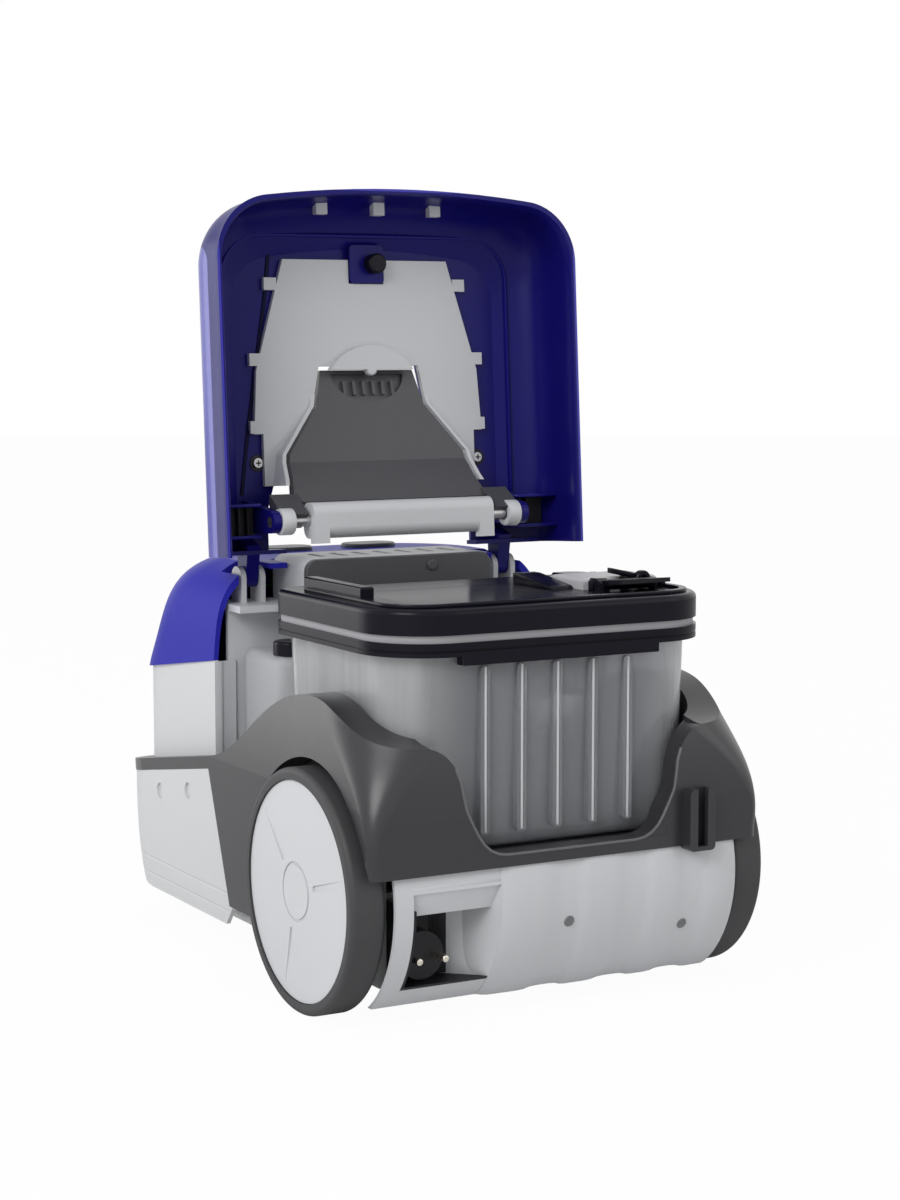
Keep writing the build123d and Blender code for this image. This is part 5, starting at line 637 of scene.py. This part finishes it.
wheel_profile = ((0.0018, 0), (0.0030, 0.0016), (0.0052, 0.0016), (0.0060, 0.0008), (0.0060, -0.0030))
wheel_place = Matrix.Translation((-0.0960, 0.1690, 0.2782)) @ upright_to_rear
form = bmesh.new()
turn(form, wheel_profile, along_z, 40)
close_holes(form)
bmesh.ops.transform(form, matrix=wheel_place, verts=form.verts)
fit("cover_release_wheel", form, piano_black, "tank_cover")

# Middle housing: the pale bulkhead between tanks and motor, with the filter box on it
# and the filter's dark snap-on cover. The lid's liner and the handle's beam are the same grey, the beam
# painted paler as painted light, and the handle, buttons and ducts are dark like the cover.
paint(panel_grey, "bulkhead", "air_box", "lid_liner", "handle_catch", "lid_clips")
# The beam's paler grey is painted light on the same plastic.
paint(moulding("beam_grey_painted_light", (0.60, 0.61, 0.63), 0.36), "handle_beam")
graphite = moulding("graphite_semi_gloss", (0.068, 0.068, 0.075), 0.34, depth=0.00005, shine=0.4)
paint(graphite, "carry_handle", "filter_cover")
paint(graphite, "power_button", "rewind_button", "inlet_duct", "suction_duct")
paint(graphite, "fan_housing", "fan_impeller", "water_pump")

# Front cowl: the blue nose over the motor, moulded through in one piece with a satin polish.
# A fine step runs round it above its lower edge.
trim_z, trim_half_h = 0.1885, 0.0007
cowl_blue = moulding("cowl_blue_gloss", (0.026, 0.025, 0.37), 0.30, depth=0.00002, shine=0.03)
web = cowl_blue.node_tree
above_trim = worked_out(web, "SUBTRACT", taken_apart(web, own_point(web))["Z"], trim_z)
trim_step = ranged(web, above_trim, (-trim_half_h, trim_half_h), curve="SMOOTHSTEP")
engrave(web, trim_step, depth=0.0008, strength=0.7, invert=True)
paint(cowl_blue, "front_cowl")


# Lid: one blue moulding, polished outside and left bare inside, where its deeper tone is painted shade.
# The outside is told apart by the wall's line across and along the lid, so it is only
# roughly found at the rounded corners.
def distance_along(web, point, axis, origin):
    """Adds the distance of a point from an origin along an axis."""
    cast = web.nodes.new("ShaderNodeVectorMath")
    cast.operation = "DOT_PRODUCT"
    cast.inputs[1].default_value = axis
    web.links.new(point, cast.inputs[0])
    return worked_out(web, "SUBTRACT", cast.outputs["Value"], axis.dot(origin))


lid_slope = math.radians(93.7)
lid_frame = Matrix.Translation((0, -0.044, 0.270)) @ Matrix.Rotation(lid_slope, 4, "X")
lid_turn = lid_frame.to_3x3()
# The inside's deeper blue is painted shade.
polished_blue, inside_painted_shade_blue = (0.022, 0.020, 0.36), (0.007, 0.005, 0.135)
rim_height, crown_height, flat_height = -0.058, 0.009, 0.0075
wall_inset = 0.0018
lacquer_weight, lacquer_rough = 0.55, 0.18
lid_blue = moulding("lid_blue", polished_blue, 0.26, depth=0.00003, shine=0.16)
web = lid_blue.node_tree
point = own_point(web)
across = worked_out(web, "ABSOLUTE", taken_apart(web, point)["X"])
height = distance_along(web, point, lid_turn.col[2], lid_frame.translation)
reach = distance_along(web, point, lid_turn.col[1], lid_frame.translation)
height_share = ranged(web, height, (rim_height, crown_height))
outside = worked_out(web, "GREATER_THAN", height, flat_height)
for measured, widest, wall_line in (
    (across, 0.146, ((0.54, 0.983), (0.746, 0.949), (0.896, 0.870), (1.0, 0.767))),
    (reach, 0.2765, ((0.54, 0.991), (0.746, 0.969), (0.896, 0.926), (1.0, 0.875))),
):
    outline = web.nodes.new("ShaderNodeFloatCurve")
    wall = outline.mapping.curves[0]
    wall.points[0].location = (0.0, 1.0)
    wall.points[1].location = wall_line[-1]
    for spot in wall_line[:-1]:
        wall.points.new(*spot)
    outline.mapping.update()
    web.links.new(height_share, outline.inputs["Value"])
    limit = worked_out(web, "MULTIPLY_ADD", outline.outputs["Value"], widest, -wall_inset)
    past_wall = worked_out(web, "GREATER_THAN", measured, limit)
    outside = worked_out(web, "MAXIMUM", outside, past_wall)
outside_and_painted_shade = blended(web, outside, (*inside_painted_shade_blue, 1), (*polished_blue, 1))
web.links.new(outside_and_painted_shade, web.nodes["skin"].inputs["Colour"])
shader = web.nodes["Principled BSDF"]
web.links.new(worked_out(web, "MULTIPLY", outside, lacquer_weight), shader.inputs["Coat Weight"])
shader.inputs["Coat Roughness"].default_value = lacquer_rough
paint(lid_blue, "lid_shell")

# Stiffening bead inside the lid: a low ridge round the plate, rounded at the free end
# and open at the hinge, moulded in one with the shell.
# The bead's deep blue is painted shade, like the lid's inside.
inner_painted_shade_blue = moulding("inner_painted_shade_blue", (0.009, 0.007, 0.16), 0.30, depth=0.00003, shine=0.16)
bead_h = 0.0058
form = open_rim(
    half_w=0.1195, start=0.046, end=0.2495, level=0.0045,
    corner=0.034, corner_steps=12, width=0.0024, mouth=0.056,
)
draw_out(form, form.faces[:], (0, 0, -bead_h))
soften(form, 0.0008)
bmesh.ops.transform(form, matrix=lid_frame, verts=form.verts)
fit("lid_bead", form, inner_painted_shade_blue, "lid")

# Dark strip down the left of the lid's plate: a thin strip
# that follows the plate's slanting edge.
lip_line = ((0.1068, 0.060), (0.1010, 0.100), (0.0938, 0.1435), (0.0835, 0.2014), (0.0787, 0.238))
lip_level, lip_w, lip_t = 0.0062, 0.0030, 0.0010
lip_dark = moulding("lip_dark", (0.004, 0.004, 0.030), 0.5, shine=0.1)
form = bmesh.new()
run = [form.verts.new((x, along_lid, lip_level)) for x, along_lid in lip_line]
spine = [form.edges.new(pair) for pair in zip(run, run[1:])]
widened = bmesh.ops.extrude_edge_only(form, edges=spine)["geom"]
inner_edge = [item for item in widened if isinstance(item, bmesh.types.BMVert)]
bmesh.ops.translate(form, vec=(-lip_w, 0, 0), verts=inner_edge)
draw_out(form, form.faces[:], (0, 0, -lip_t))
soften(form, 0.0003, 1)
bmesh.ops.transform(form, matrix=lid_frame, verts=form.verts)
fit("lid_lip", form, lip_dark, "lid")

# Hinge pockets either side of the handle's rod: two blue shelves with a black plate between them,
# moulded into the lid's hinge corners. The shelves' deep blue and the black plate with its ribs are painted
# shade in the recess.
both_sides = (("left", 1), ("right", -1))
shelf_places, shelf_t = (0.0290, 0.0515), 0.0024
shelf_section = (
    (0.1065, 0.0045), (0.1125, 0.0045), (0.1260, -0.0008),
    (0.1342, -0.0080), (0.1412, -0.0300), (0.1065, -0.0300),
)
plate_inner, plate_outer, plate_t, plate_level = 0.1062, 0.1362, 0.0020, -0.0150
plate_start, plate_end = 0.0310, 0.0516
rib_places, rib_w, rib_t, rib_level = (0.1120, 0.1190), 0.0016, 0.0060, -0.0205
for side_name, side in both_sides:
    form = bmesh.new()
    for shelf in shelf_places:
        slab(
            form,
            [(side * x, t) for x, t in shelf_section],
            shelf_t,
            lid_frame @ Matrix.Translation((0, shelf, 0)) @ facing_rear,
        )
    bmesh.ops.recalc_face_normals(form, faces=form.faces)
    soften(form, 0.0006)
    fit("pocket_shelves_" + side_name, form, inner_painted_shade_blue, "lid")
    # Black plate and ribs: painted shadow at the back of the pocket.
    form = bmesh.new()
    slab(
        form,
        oblong(side * plate_inner, side * plate_outer, plate_start, plate_end),
        plate_t,
        lid_frame @ Matrix.Translation((0, 0, plate_level)),
    )
    for rib in rib_places:
        slab(
            form,
            oblong(side * rib, side * (rib + rib_w), plate_start, plate_end),
            rib_t,
            lid_frame @ Matrix.Translation((0, 0, rib_level)),
        )
    bmesh.ops.recalc_face_normals(form, faces=form.faces)
    soften(form, 0.0004, 1)
    fit("pocket_painted_shadow_" + side_name, form, matt_black, "lid")

# Rod bushes: pale sleeves pressed over the eyes of the carry handle,
# with rounded rims, one at each end of the rod.
pivot_x, pivot_y, pivot_z = 0.0930, -0.0065, 0.3130
bush_profile = ((-0.0053, 0.0052), (-0.0053, 0.0096), (0.0053, 0.0096), (0.0053, 0.0052))
for side_name, side in both_sides:
    form = bmesh.new()
    turn(form, bush_profile, along_x, 48)
    bmesh.ops.recalc_face_normals(form, faces=form.faces)
    soften(form, 0.0010)
    bmesh.ops.translate(form, vec=(side * pivot_x, pivot_y, pivot_z), verts=form.verts)
    fit("rod_bush_" + side_name, form, hub_grey, "handle")

# Liner screw wells: a dark ring sunk round each of the liner's two screws,
# and the cross in the screw's head, both black as painted shade in the recesses.
liner_screw_x, liner_screw_along = 0.092, 0.083
liner_well_profile = ((0.0042, 0.0063), (0.0042, 0.0052), (0.0060, 0.0052), (0.0064, 0.0063))
cross_long, cross_short, cross_t, cross_level = 0.0021, 0.0005, 0.0004, 0.0034
# Black ring and cross: painted shade in the screw wells.
form = bmesh.new()
for side in (1, -1):
    ring = turn(form, liner_well_profile, along_z, 32)
    bmesh.ops.translate(form, vec=(side * liner_screw_x, liner_screw_along, 0), verts=ring)
    for half_x, half_y in ((cross_long, cross_short), (cross_short, cross_long)):
        slab(
            form,
            oblong(-half_x, half_x, -half_y, half_y),
            cross_t,
            Matrix.Translation((side * liner_screw_x, liner_screw_along, cross_level)),
        )
bmesh.ops.transform(form, matrix=lid_frame, verts=form.verts)
fit("liner_screw_wells", form, matt_black, "lid")

# Inner works that show only with the covers off:
# the green control board and the pleated exhaust filter's pale fleece.
paint(moulding("board_green", (0.03, 0.16, 0.06), 0.5), "control_board")
paint(moulding("filter_fleece", (0.75, 0.75, 0.70), 0.8, grain=400.0, depth=0.0004), "exhaust_filter")
